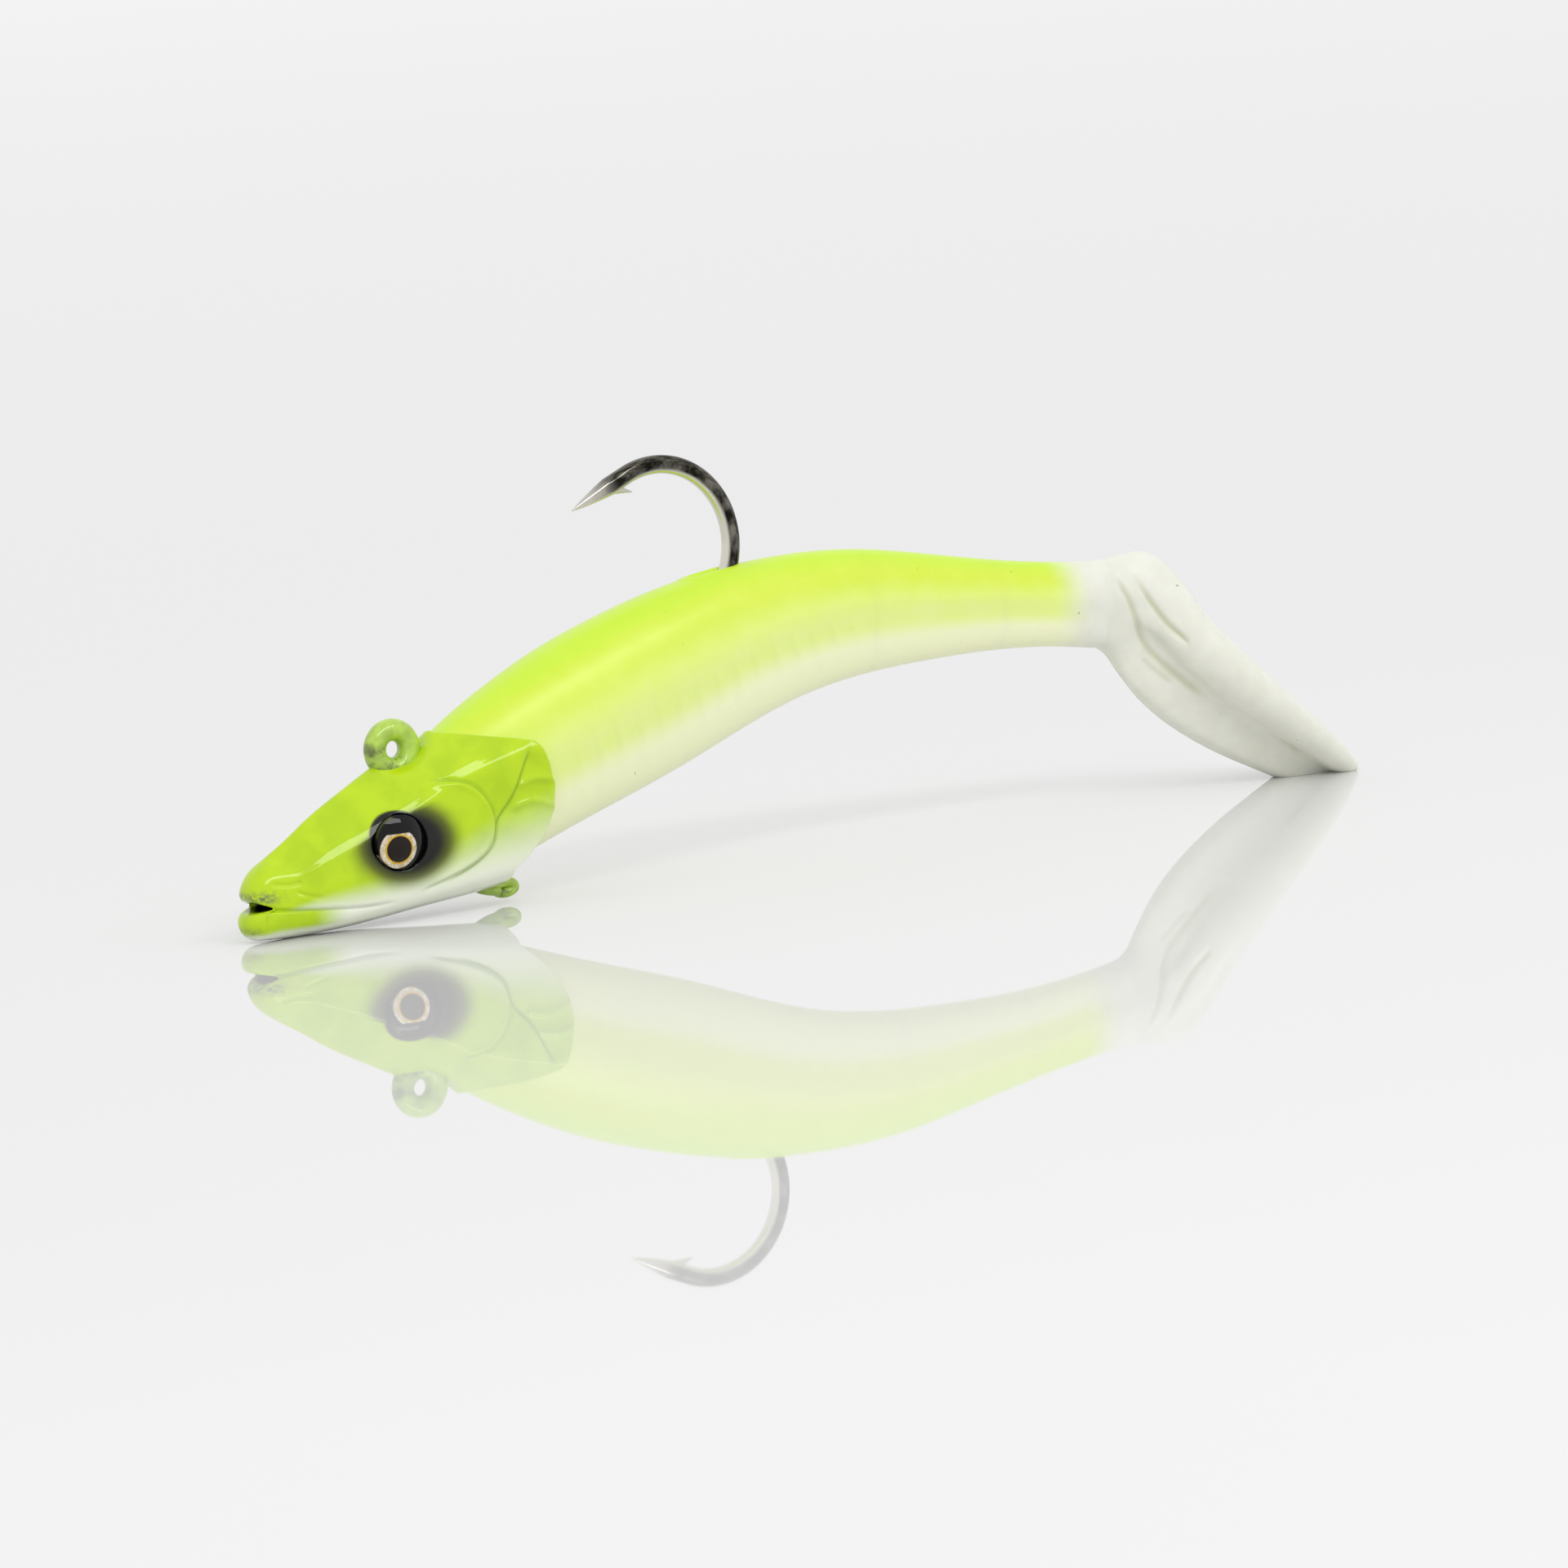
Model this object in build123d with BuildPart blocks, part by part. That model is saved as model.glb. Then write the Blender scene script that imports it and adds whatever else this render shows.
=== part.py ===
"""Soft swimbait on a cast jig head.

Frame: millimetres, +X towards the tail, +Z up, mirror-symmetric about Y = 0. The lure stands on Z = 0 on its
chin, its belly ring and the lower end of its tail. The origin is under the middle of its length.
Distances along the lure are measured from the tip of the lower jaw and turned into X by at_x().
"""
import os
from math import asin, cos, radians, sin, tan

from build123d import *

# ---------------------------------------------------------------- driving dimensions, millimetres and degrees
# Head casting
head_length = 34.1          # jaw tip to the rear of the head's form, under the gill plates
head_depth = 20.0           # height of the head's form above its chin, at the gills
head_width = 13.4           # across the gill plates
shoulder_at = 21.4          # where the soft back starts behind the top of the head
shoulder_height = 16.8
gill_top_at = 29.4          # upper corner of the gill plates
gill_top_height = 15.3
gill_rear_at = 30.9         # their rearmost point
gill_rear_height = 11.0
gill_low_at = 26.7          # their lower corner
gill_low_height = 3.4
throat_at = 27.4            # rear end of the casting under the throat
chin_flat = 0.15            # cast flat under the chin, that it rests on
mouth_length = 3.2          # the gap between the lips, at the front of the casting
mouth_gap = 0.9
mouth_height = 2.9

# Keeper spigot, cast round the hook's shank inside the soft body
keeper_length = 18.0
keeper_radius = 2.1
keeper_barb_radius = 3.0
keeper_barb_length = 2.5

# Eyes
eye_at = 15.1
eye_height = 7.8
eye_radius = 2.5
eye_inset = 0.95            # how deep the socket is below the side of the head
foil_thickness = 0.25
lens_edge = 0.45            # height of the lens's straight edge
lens_dome = 0.75            # rise of its dome

# Line tie and belly ring, one wire form
tie_at = 17.7
tie_height = 15.7
tie_radius = 1.83           # centre line of the ring
tie_wire = 2.05             # painted wire
tie_bore_radius = 0.95
tie_relief = 0.10           # a saddle across the head's top clears the ring's bore by this
belly_ring_radius = 1.25
belly_wire = 1.3
belly_bore_radius = 0.70
belly_clear = 0.45          # wire between the belly ring's bore and the throat
inner_bend_radius = 2.5     # bends of the wire inside the casting

# Jig hook
hook_wire = 1.75
hook_bend_radius = 7.8      # centre line
hook_bend_at = 48.1         # centre of the bend
hook_bend_height = 30.7
shank_angle = 19.0          # rise of the shank towards the bend
shank_behind_wire = 1.0     # the cast-in end of the shank, clear of the tow wire
shank_in_head = 5.0         # shank cast into the head before the keeper starts
leg_angle = 23.5            # fall of the point's leg towards the point
leg_length = 6.6
point_length = 3.4          # ground taper at the end of the leg
barb_length = 2.6
barb_height = 1.1

# Soft body
body_start = 19.0           # the body's front end, between the gill plates
body_depth = 16.9           # deepest section
body_width = 11.0           # widest section
back_height = 28.4          # highest point of the back
wall_behind_hook = 1.6      # soft plastic left between the hook's bend and the first socket
first_nose_radius = 2.9
middle_length = 15.5        # first bend to second bend
rear_length = 14.6          # second bend to the tail's swing axis
wrist_length = 7.6          # swing axis to the pitch axis
tail_root_length = 10.9     # the wrist carried on behind the pitch axis, into the tail
bend_gap = 0.30             # clearance between a rounded nose and its socket
nose_share = 0.68           # other nose radii, as shares of the body's half width there
pitch_nose = 3.0
swing_body = 16.0           # how far the two body bends open, each way
swing_tail = 32.0
pitch_tail = 12.0
flank_margin = 1.5          # spare angle between the bevelled flanks

# Tail: a sloping oval blade with a keel
tail_lobe = 8.3             # the blade above the level of the pitch axis
blade_behind_pitch = 7.1    # the blade's rear face behind the pitch axis, at its level
tail_width = 13.0
tail_thickness = 2.8
tail_angle = 42.2           # slope of the blade below the horizontal
tail_edge = 1.1             # rounding of the blade's edge
foot_flat = 0.35            # the soft foot is pressed flat where it rests
keel_width = 4.2            # the wrist carried on down the blade's front face
keel_depth = 2.9
keel_start = 9.5            # from the blade's top end
keel_full = 16.0
keel_end = 27.5

tall = 60.0                 # longer than any section, for cutting tools

# ---------------------------------------------------------------- sections of the two soft shapes
# Head: share of head_length, underside and top as shares of head_depth, half width as a share of the widest.
HEAD_SECTIONS = [
    (0.000, 0.080, 0.210, 0.16),
    (0.035, 0.037, 0.282, 0.31),
    (0.117, 0.007, 0.400, 0.48),
    (0.264, 0.000, 0.555, 0.65),
    (0.499, 0.017, 0.742, 0.82),
    (0.762, 0.060, 0.935, 0.95),
    (1.000, 0.115, 1.080, 1.00),
]
# Body: share of body_length, drop of the top below back_height and depth as shares of body_depth,
# half width as a share of the widest.
BODY_SECTIONS = [
    (0.000, 0.746, 0.805, 0.89),
    (0.120, 0.432, 0.976, 1.00),
    (0.272, 0.148, 0.982, 0.96),
    (0.424, 0.006, 0.846, 0.81),
    (0.576, 0.053, 0.648, 0.68),
    (0.728, 0.201, 0.485, 0.56),
    (0.853, 0.290, 0.503, 0.50),
    (0.924, 0.330, 0.560, 0.47),
    (1.000, 0.620, 0.510, 0.38),
]


def between(sections, share, column):
    """One column of a list of sections at any share of its length, in straight steps between the sections."""
    for start, end in zip(sections, sections[1:]):
        if start[0] <= share <= end[0]:
            part = (share - start[0]) / (end[0] - start[0])
            return start[column] + part * (end[column] - start[column])
    raise ValueError("no section there")


# ---------------------------------------------------------------- places worked out from the dimensions
slope = radians(tail_angle)
hook_rear = hook_bend_at + hook_bend_radius + hook_wire / 2
first_socket_at = hook_rear + wall_behind_hook      # front of the first socket
pitch_at = first_socket_at + first_nose_radius + bend_gap + middle_length + rear_length + wrist_length
body_length = pitch_at + tail_root_length - body_start


def half_width_at(distance):
    """Half the soft body's width at a distance from the jaw tip."""
    return between(BODY_SECTIONS, (distance - body_start) / body_length, 3) * body_width / 2


first_bend_at = first_socket_at + first_nose_radius + bend_gap
second_bend_at = first_bend_at + middle_length
swing_at = second_bend_at + rear_length
second_nose = nose_share * half_width_at(second_bend_at)
swing_nose = nose_share * half_width_at(swing_at)

pitch_share = (pitch_at - body_start) / body_length
pitch_top = back_height - between(BODY_SECTIONS, pitch_share, 1) * body_depth
pitch_height = pitch_top - between(BODY_SECTIONS, pitch_share, 2) * body_depth / 2

# The blade's rear face starts at its top end and slopes down to a rounded foot that rests on Z = 0.
blade_top_at = pitch_at + blade_behind_pitch - tail_lobe * cos(slope)
blade_top_height = pitch_height + tail_lobe * sin(slope)
foot_height = (tail_thickness - tail_edge) * cos(slope) + tail_edge - foot_flat
tail_length = (blade_top_height - foot_height) / sin(slope) + tail_edge
overall_length = blade_top_at + (tail_length - tail_edge) * cos(slope) + tail_edge * (1 - sin(slope))


def at_x(distance):
    """X of a point this far behind the tip of the lower jaw."""
    return distance - overall_length / 2


def at(distance, height):
    """The same place on the mid-plane, as a point of a sketch on Plane.XZ."""
    return (at_x(distance), height)


def hook_point(angle, radius=hook_bend_radius):
    """A point on the hook's bend, by its angle about the bend's centre."""
    return at(hook_bend_at + radius * cos(radians(angle)), hook_bend_height + radius * sin(radians(angle)))


def along(start, angle, length):
    """The point that lies this far from start, in the mid-plane."""
    return (start[0] + length * cos(radians(angle)), start[1] + length * sin(radians(angle)))


def ellipse_sections(sections):
    """One ellipse per (distance, low, high, half width), each square to X, ready for a loft."""
    ellipses = []
    for distance, low, high, half_width in sections:
        with BuildSketch(Plane.YZ.offset(at_x(distance))) as section:
            with Locations((0, (low + high) / 2)):
                Ellipse(half_width, (high - low) / 2)
        ellipses.append(section.sketch)
    return ellipses


def gill_outline():
    """The side view's line between casting and soft body, as a face that covers the casting."""
    with BuildSketch(Plane.XZ) as outline:
        with BuildLine():
            Polyline(
                at(gill_top_at, gill_top_height),
                at(shoulder_at, shoulder_height),
                at(shoulder_at, tall),
                at(-tall, tall),
                at(-tall, -tall),
                at(throat_at, -tall),
                at(throat_at, gill_low_height / 2),
                at(gill_low_at, gill_low_height),
            )
            ThreePointArc(
                at(gill_low_at, gill_low_height),
                at(gill_rear_at, gill_rear_height),
                at(gill_top_at, gill_top_height),
            )
        make_face()
    return outline.sketch


def stretch_plan(front, rear):
    """Plan view of one stretch of the soft body: a bend is (distance, nose radius, swing in degrees).

    The stretch starts in a rounded nose on the front bend's axis, with bevelled flanks, and ends in the
    matching socket on the rear bend's axis.
    """
    half = body_width
    with BuildSketch(Plane.XY.offset(-tall / 2)) as plan:
        if front:
            front_x, lean = at_x(front[0]), half * tan(radians((front[2] + flank_margin) / 2))
            front_points = [(front_x + lean, -half), (front_x, 0), (front_x + lean, half)]
        else:
            front_points = [(at_x(0), -half), (at_x(0), half)]
        if rear:
            rear_x, back = at_x(rear[0]), half * tan(radians((rear[2] + flank_margin) / 2))
            rear_points = [(rear_x - back, half), (rear_x, 0), (rear_x - back, -half)]
        else:
            rear_points = [(at_x(2 * overall_length), half), (at_x(2 * overall_length), -half)]
        with BuildLine():
            Polyline(*front_points, *rear_points, close=True)
        make_face()
        if front:
            with Locations((front_x, 0)):
                Circle(front[1])
        if rear:
            with Locations((rear_x, 0)):
                Circle(rear[1] + bend_gap, mode=Mode.SUBTRACT)
    return plan.sketch


first_bend = (first_bend_at, first_nose_radius, swing_body)
second_bend = (second_bend_at, second_nose, swing_body)
swing_bend = (swing_at, swing_nose, swing_tail)

os.makedirs("parts", exist_ok=True)

# ---------------------------------------------------------------- jig hook: shank, round bend, point and barb
bend_start = hook_point(shank_angle - 90)
bend_end = hook_point(leg_angle + 90)
shank_start_x = at_x(tie_at) + belly_wire / 2 + shank_behind_wire + hook_wire / 2
shank_length = (bend_start[0] - shank_start_x) / cos(radians(shank_angle))
shank_start = along(bend_start, shank_angle + 180, shank_length)
taper_start = along(bend_end, leg_angle + 180, leg_length - point_length)
hook_tip = along(bend_end, leg_angle + 180, leg_length)

with BuildPart() as jig_hook:
    with BuildLine(Plane.XZ) as hook_path:
        Line(shank_start, bend_start)
        ThreePointArc(bend_start, hook_point((shank_angle + leg_angle) / 2), bend_end)
        Line(bend_end, taper_start)
    with BuildSketch(Plane(hook_path.line @ 0, z_dir=hook_path.line % 0)):
        Circle(hook_wire / 2)
    sweep()
    leg = Vector(-cos(radians(leg_angle)), 0, -sin(radians(leg_angle)))
    with BuildSketch(Plane((taper_start[0], 0, taper_start[1]), z_dir=leg)):
        Circle(hook_wire / 2)
    with BuildSketch(Plane((hook_tip[0], 0, hook_tip[1]), z_dir=leg)):
        Circle(hook_wire / 16)
    loft()
    # The barb is a thin wedge on the inner side of the leg, its tip pointing back to the bend.
    with BuildSketch(Plane.XZ):
        with BuildLine():
            barb_root = along(taper_start, leg_angle - 90, hook_wire / 4)
            barb_tip = along(along(taper_start, leg_angle, barb_length), leg_angle - 90, hook_wire / 2 + barb_height)
            barb_front = along(taper_start, leg_angle + 180, barb_length / 2)
            Polyline(barb_front, barb_tip, along(barb_root, leg_angle, barb_length * 0.6), close=True)
        make_face()
    extrude(amount=hook_wire * 0.22, both=True)
jig_hook.part.label = "jig_hook"

# ---------------------------------------------------------------- line tie and belly ring on one wire
tie_plane = Plane(origin=(at_x(tie_at), 0, tie_height), z_dir=(0, 1, 0))
belly_ring_height = belly_ring_radius + belly_wire / 2
belly_ring_at = throat_at + belly_bore_radius + belly_clear

with BuildPart() as tow_wire:
    with BuildLine(Plane.XZ) as wire_path:
        FilletPolyline(
            at(tie_at, tie_height - tie_radius),
            at(tie_at, belly_ring_height + 1.2),
            at(belly_ring_at - 3.5, belly_ring_height),
            at(belly_ring_at - belly_ring_radius, belly_ring_height),
            radius=inner_bend_radius,
        )
    with BuildSketch(Plane(wire_path.line @ 0, z_dir=wire_path.line % 0)):
        Circle(belly_wire / 2)
    sweep()
    with Locations(tie_plane):
        Torus(tie_radius, tie_wire / 2)
        Cylinder(tie_bore_radius, tie_wire, mode=Mode.SUBTRACT)
    with Locations(Plane(origin=(at_x(belly_ring_at), 0, belly_ring_height), z_dir=(0, 1, 0))):
        Torus(belly_ring_radius, belly_wire / 2)
        Cylinder(belly_bore_radius, belly_wire, mode=Mode.SUBTRACT)
tow_wire.part.label = "tow_wire"

# ---------------------------------------------------------------- head casting
keeper_start = along(shank_start, shank_angle, shank_in_head)
keeper_axis = Vector(cos(radians(shank_angle)), 0, sin(radians(shank_angle)))
keeper_plane = Plane((keeper_start[0], 0, keeper_start[1]), z_dir=keeper_axis)
socket_floor = between(HEAD_SECTIONS, eye_at / head_length, 3) * head_width / 2 - eye_inset

with BuildPart() as keeper:
    with BuildSketch(keeper_plane):
        Circle(keeper_radius)
    extrude(amount=keeper_length)
    with BuildSketch(keeper_plane.offset(keeper_length - keeper_barb_length)):
        Circle(keeper_barb_radius)
    with BuildSketch(keeper_plane.offset(keeper_length)):
        Circle(keeper_radius)
    loft()

with BuildPart() as head_casting:
    loft(ellipse_sections([
        (share * head_length, low * head_depth - chin_flat, high * head_depth, wide * head_width / 2)
        for share, low, high, wide in HEAD_SECTIONS
    ]))
    extrude(gill_outline(), amount=tall, both=True, mode=Mode.INTERSECT)
    split(bisect_by=Plane.XY, keep=Keep.TOP)
    # The open mouth is a wedge between the lips.
    with BuildSketch(Plane.XZ):
        with BuildLine():
            Polyline(
                at(-1, mouth_height + mouth_gap / 2),
                at(mouth_length, mouth_height + mouth_gap / 8),
                at(mouth_length, mouth_height - mouth_gap / 8),
                at(-1, mouth_height - mouth_gap / 2),
                close=True,
            )
        make_face()
    extrude(amount=tall, both=True, mode=Mode.SUBTRACT)
    for side in (-1, 1):
        with BuildSketch(Plane((at_x(eye_at), side * socket_floor, eye_height), z_dir=(0, side, 0))):
            Circle(eye_radius)
        extrude(amount=eye_inset + 2, mode=Mode.SUBTRACT)
    with Locations((at_x(tie_at), 0, tie_height)):
        saddle = 2 * (tie_bore_radius + tie_relief)
        Box(saddle, head_width, saddle, mode=Mode.SUBTRACT)
    add(keeper.part)
    add(tow_wire.part, mode=Mode.SUBTRACT)
    add(jig_hook.part, mode=Mode.SUBTRACT)
head_casting.part.label = "head_casting"

# ---------------------------------------------------------------- eyes: foil disc under a domed lens
lens_top = lens_edge + lens_dome
dome_radius = (eye_radius**2 + lens_dome**2) / (2 * lens_dome)
dome_half = asin(eye_radius / dome_radius) / 2
eyes = []
for side, side_name in ((-1, "left"), (1, "right")):
    with BuildPart() as eye_foil:
        with BuildSketch(Plane((at_x(eye_at), side * socket_floor, eye_height), z_dir=(0, side, 0))):
            Circle(eye_radius)
        extrude(amount=foil_thickness)
    eye_foil.part.label = f"eye_foil_{side_name}"
    lens_plane = Plane(
        (at_x(eye_at), side * (socket_floor + foil_thickness), eye_height), x_dir=(1, 0, 0), z_dir=(0, 0, 1)
    )
    with BuildPart() as eye_lens:
        with BuildSketch(lens_plane):
            with BuildLine():
                Line((0, 0), (eye_radius, 0))
                Line((eye_radius, 0), (eye_radius, side * lens_edge))
                ThreePointArc(
                    (eye_radius, side * lens_edge),
                    (dome_radius * sin(dome_half), side * (lens_top - dome_radius * (1 - cos(dome_half)))),
                    (0, side * lens_top),
                )
                Line((0, side * lens_top), (0, 0))
            make_face()
        revolve(axis=Axis((at_x(eye_at), 0, eye_height), (0, 1, 0)))
    eye_lens.part.label = f"eye_lens_{side_name}"
    eyes += [eye_foil.part, eye_lens.part]

# ---------------------------------------------------------------- soft body
with BuildPart() as body_form:
    loft(ellipse_sections([
        (
            body_start + share * body_length,
            back_height - (drop + depth) * body_depth,
            back_height - drop * body_depth,
            wide * body_width / 2,
        )
        for share, drop, depth, wide in BODY_SECTIONS
    ]))

with BuildPart() as casting_space:
    extrude(gill_outline(), amount=tall, both=True)

with BuildPart() as body_front:
    add(body_form.part)
    extrude(stretch_plan(None, first_bend), amount=2 * tall, mode=Mode.INTERSECT)
    add(casting_space.part, mode=Mode.SUBTRACT)
    add(keeper.part, mode=Mode.SUBTRACT)
    add(tow_wire.part, mode=Mode.SUBTRACT)
    add(jig_hook.part, mode=Mode.SUBTRACT)
body_front.part.label = "body_front"

with BuildPart() as body_middle:
    add(body_form.part)
    extrude(stretch_plan(first_bend, second_bend), amount=2 * tall, mode=Mode.INTERSECT)
body_middle.part.label = "body_middle"

with BuildPart() as body_rear:
    add(body_form.part)
    extrude(stretch_plan(second_bend, swing_bend), amount=2 * tall, mode=Mode.INTERSECT)
body_rear.part.label = "body_rear"


def pitch_side_view(side):
    """Side view of the soft form ahead of (-1) or behind (1) the pitch axis, with its socket or its nose."""
    lean = tall * tan(radians((pitch_tail + flank_margin) / 2))
    with BuildSketch(Plane.XZ) as view:
        with BuildLine():
            Polyline(
                at(pitch_at + side * lean, pitch_height + tall),
                at(pitch_at, pitch_height),
                at(pitch_at + side * lean, pitch_height - tall),
                at(pitch_at + 2 * side * tall, pitch_height - tall),
                at(pitch_at + 2 * side * tall, pitch_height + tall),
                close=True,
            )
        make_face()
        with Locations(at(pitch_at, pitch_height)):
            if side < 0:
                Circle(pitch_nose + bend_gap, mode=Mode.SUBTRACT)
            else:
                Circle(pitch_nose)
    return view.sketch


with BuildPart() as tail_wrist:
    add(body_form.part)
    extrude(stretch_plan(swing_bend, None), amount=2 * tall, mode=Mode.INTERSECT)
    extrude(pitch_side_view(-1), amount=tall, both=True, mode=Mode.INTERSECT)
tail_wrist.part.label = "tail_wrist"

# ---------------------------------------------------------------- tail: sloping oval blade with a keel
blade_plane = Plane(
    (at_x(blade_top_at), 0, blade_top_height), x_dir=(cos(slope), 0, -sin(slope)), z_dir=(sin(slope), 0, cos(slope))
)
blade_side = Plane(blade_plane.origin, x_dir=blade_plane.x_dir, z_dir=(0, -1, 0))

with BuildPart() as tail_root:
    add(body_form.part)
    split(bisect_by=blade_plane.offset(-tail_thickness / 2), keep=Keep.BOTTOM)

with BuildPart() as tail_paddle:
    with BuildSketch(blade_plane):
        with Locations((tail_length / 2, 0)):
            Ellipse(tail_length / 2, tail_width / 2)
    extrude(amount=-tail_thickness)
    fillet(tail_paddle.edges().filter_by(GeomType.ELLIPSE), tail_edge)
    with BuildSketch(blade_side):
        with BuildLine():
            Polyline(
                (keel_start, -tail_thickness / 2),
                (keel_start, -tail_thickness - keel_depth),
                (keel_full, -tail_thickness - keel_depth),
                (keel_end, -tail_thickness),
                (keel_end, -tail_thickness / 2),
                close=True,
            )
        make_face()
    extrude(amount=keel_width / 2, both=True)
    add(tail_root.part)
    extrude(pitch_side_view(1), amount=tall, both=True, mode=Mode.INTERSECT)
    split(bisect_by=Plane.XY, keep=Keep.TOP)
tail_paddle.part.label = "tail_paddle"

# ---------------------------------------------------------------- files
pieces = [
    head_casting.part, tow_wire.part, jig_hook.part, *eyes,
    body_front.part, body_middle.part, body_rear.part, tail_wrist.part, tail_paddle.part,
]
for piece in pieces:
    export_step(piece, f"parts/{piece.label}.step")
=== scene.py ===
"""Soft swimbait on a cast jig head: the pieces that show, their finishes and a plain studio.

Places are worked out in millimetres as (distance behind the tip of the lower jaw, sideways, height) and put
into the frame by place(). The lure points to -X, its left side is -Y and it stands on Z = 0.
"""
import math

import bpy
import numpy as np
from mathutils import Matrix, Vector


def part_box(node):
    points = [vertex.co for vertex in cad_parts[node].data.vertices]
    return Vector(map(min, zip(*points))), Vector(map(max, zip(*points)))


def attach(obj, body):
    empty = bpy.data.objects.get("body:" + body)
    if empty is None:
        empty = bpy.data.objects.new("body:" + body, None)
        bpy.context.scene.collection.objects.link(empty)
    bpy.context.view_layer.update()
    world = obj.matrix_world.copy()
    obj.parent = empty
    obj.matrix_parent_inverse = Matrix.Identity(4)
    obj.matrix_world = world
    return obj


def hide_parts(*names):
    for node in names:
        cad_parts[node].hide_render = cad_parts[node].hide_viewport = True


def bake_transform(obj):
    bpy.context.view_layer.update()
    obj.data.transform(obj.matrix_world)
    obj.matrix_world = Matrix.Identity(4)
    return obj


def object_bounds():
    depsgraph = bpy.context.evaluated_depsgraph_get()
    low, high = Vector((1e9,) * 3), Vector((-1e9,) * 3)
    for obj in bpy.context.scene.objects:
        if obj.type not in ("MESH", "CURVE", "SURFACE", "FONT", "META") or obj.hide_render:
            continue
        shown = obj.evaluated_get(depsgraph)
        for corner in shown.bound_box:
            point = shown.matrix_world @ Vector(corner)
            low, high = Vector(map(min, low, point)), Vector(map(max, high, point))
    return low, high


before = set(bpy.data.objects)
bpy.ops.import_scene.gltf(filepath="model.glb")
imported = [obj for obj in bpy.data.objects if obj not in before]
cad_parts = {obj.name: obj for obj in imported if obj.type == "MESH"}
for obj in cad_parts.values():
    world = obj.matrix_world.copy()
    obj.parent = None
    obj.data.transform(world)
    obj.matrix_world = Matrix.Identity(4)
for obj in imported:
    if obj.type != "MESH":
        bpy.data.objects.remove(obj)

bl_info = {
    "name": "Jig head swimbait",
    "version": (1, 0, 0),
    "blender": (4, 5, 0),
    "location": "3D View > Sidebar > Swimbait",
    "description": "Builds the pieces of a soft swimbait on a cast jig head round its CAD frame",
    "category": "Add Mesh",
}

MM = 0.001
CAD_BOX = [list(corner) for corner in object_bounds()]
JAW_X = CAD_BOX[0][0]
HALF_WIDTH = CAD_BOX[1][1] / MM


def centre_of(node):
    """Middle of a CAD node's box, in millimetres behind the jaw tip, sideways and up."""
    low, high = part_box(node)
    middle = (low + high) / 2
    return (middle.x - JAW_X) / MM, middle.y / MM, middle.z / MM


def place(points):
    """Millimetres from the jaw tip turned into metres in the frame."""
    return np.asarray(points, float) * MM + (JAW_X, 0, 0)


# ---------------------------------------------------------------- tables of shape, millimetres
# Lips: upper lip (distance, height), lower lip (distance, height), corner (distance, half width, height).
# The first rows lie inside the mouth and the last ones run back over the snout.
LIP_ROWS = [
    (4.30, 3.42, 4.10, 3.08, 4.60, 1.10, 3.22),
    (2.90, 3.62, 2.50, 2.90, 4.00, 1.70, 3.18),
    (1.85, 3.74, 1.40, 2.75, 3.50, 1.95, 3.15),
    (1.35, 3.94, 0.86, 2.50, 3.25, 2.10, 3.12),
    (1.12, 4.38, 0.60, 1.95, 3.20, 2.22, 3.10),
    (1.18, 5.00, 0.66, 1.15, 3.35, 2.34, 3.05),
    (1.60, 5.85, 1.20, 0.42, 3.75, 2.50, 3.00),
    (2.75, 6.95, 2.40, 0.08, 4.50, 2.72, 2.95),
]
# Head: distance, underside, top, then brow, side and jaw as (half width, height).
HEAD_ROWS = [
    (5.6, 0.00, 8.72, 2.50, 5.98, 3.10, 3.80, 2.55, 1.05),
    (8.0, 0.03, 10.32, 2.95, 7.00, 3.70, 4.10, 3.00, 1.05),
    (11.6, 0.20, 12.34, 3.65, 8.52, 4.50, 4.60, 3.50, 1.25),
    (15.6, 0.55, 14.40, 4.42, 10.28, 5.25, 5.50, 4.05, 1.70),
    (19.0, 0.90, 15.95, 4.98, 12.05, 5.80, 6.50, 4.45, 2.10),
    (23.0, 1.25, 17.60, 5.38, 13.75, 6.20, 7.60, 4.70, 2.50),
    (27.0, 1.65, 19.30, 5.55, 15.10, 6.35, 8.50, 4.75, 3.00),
    (32.0, 2.40, 21.00, 5.55, 16.30, 6.25, 9.30, 4.60, 3.80),
]
BROW_FACET = [0.25, 0.55, 0.72, 0.78, 0.80, 0.90, 1.30, 1.70]    # half the width of the flat on the brow, per row
# Side view's line between casting and soft body: height, distance.
GILL_EDGE = [
    (-1.0, 27.2), (1.5, 27.2), (3.4, 26.9), (4.6, 28.2), (6.4, 29.7), (8.6, 30.7), (11.0, 31.0), (13.0, 30.6),
    (14.6, 29.9), (15.3, 29.3), (15.7, 27.6), (16.8, 21.6), (17.5, 21.4), (30.0, 21.3),
]
CHEEK_LINE = [(18.6, 12.85), (20.6, 12.8), (22.6, 12.1), (24.0, 10.6), (24.6, 8.6), (24.0, 6.2),
              (21.4, 4.4), (16.6, 2.9)]
COVER_LINE = [(28.9, 15.0), (27.9, 12.9), (26.3, 10.2), (24.8, 8.3), (24.6, 6.6), (22.4, 4.5), (19.0, 3.3)]
MOUTH_LINE = [(2.6, 3.10), (5.5, 2.70), (8.3, 2.45), (12.0, 2.20), (15.2, 2.35)]
FIN_RAYS = [[(27.1, 11.2), (28.9, 11.75), (31.2, 11.35)], [(26.2, 9.2), (28.4, 9.8), (30.9, 8.95)]]
LIP_CREASES = [[(3.2, 5.35), (4.4, 5.15), (5.5, 5.2)], [(5.3, 4.35), (6.3, 3.9), (7.2, 3.65)]]
BROW_LINE = [(-2.0, 4.4), (5.4, 5.9), (11.6, 8.8), (16.4, 11.0), (20.1, 12.3), (32.0, 15.6)]

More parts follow.
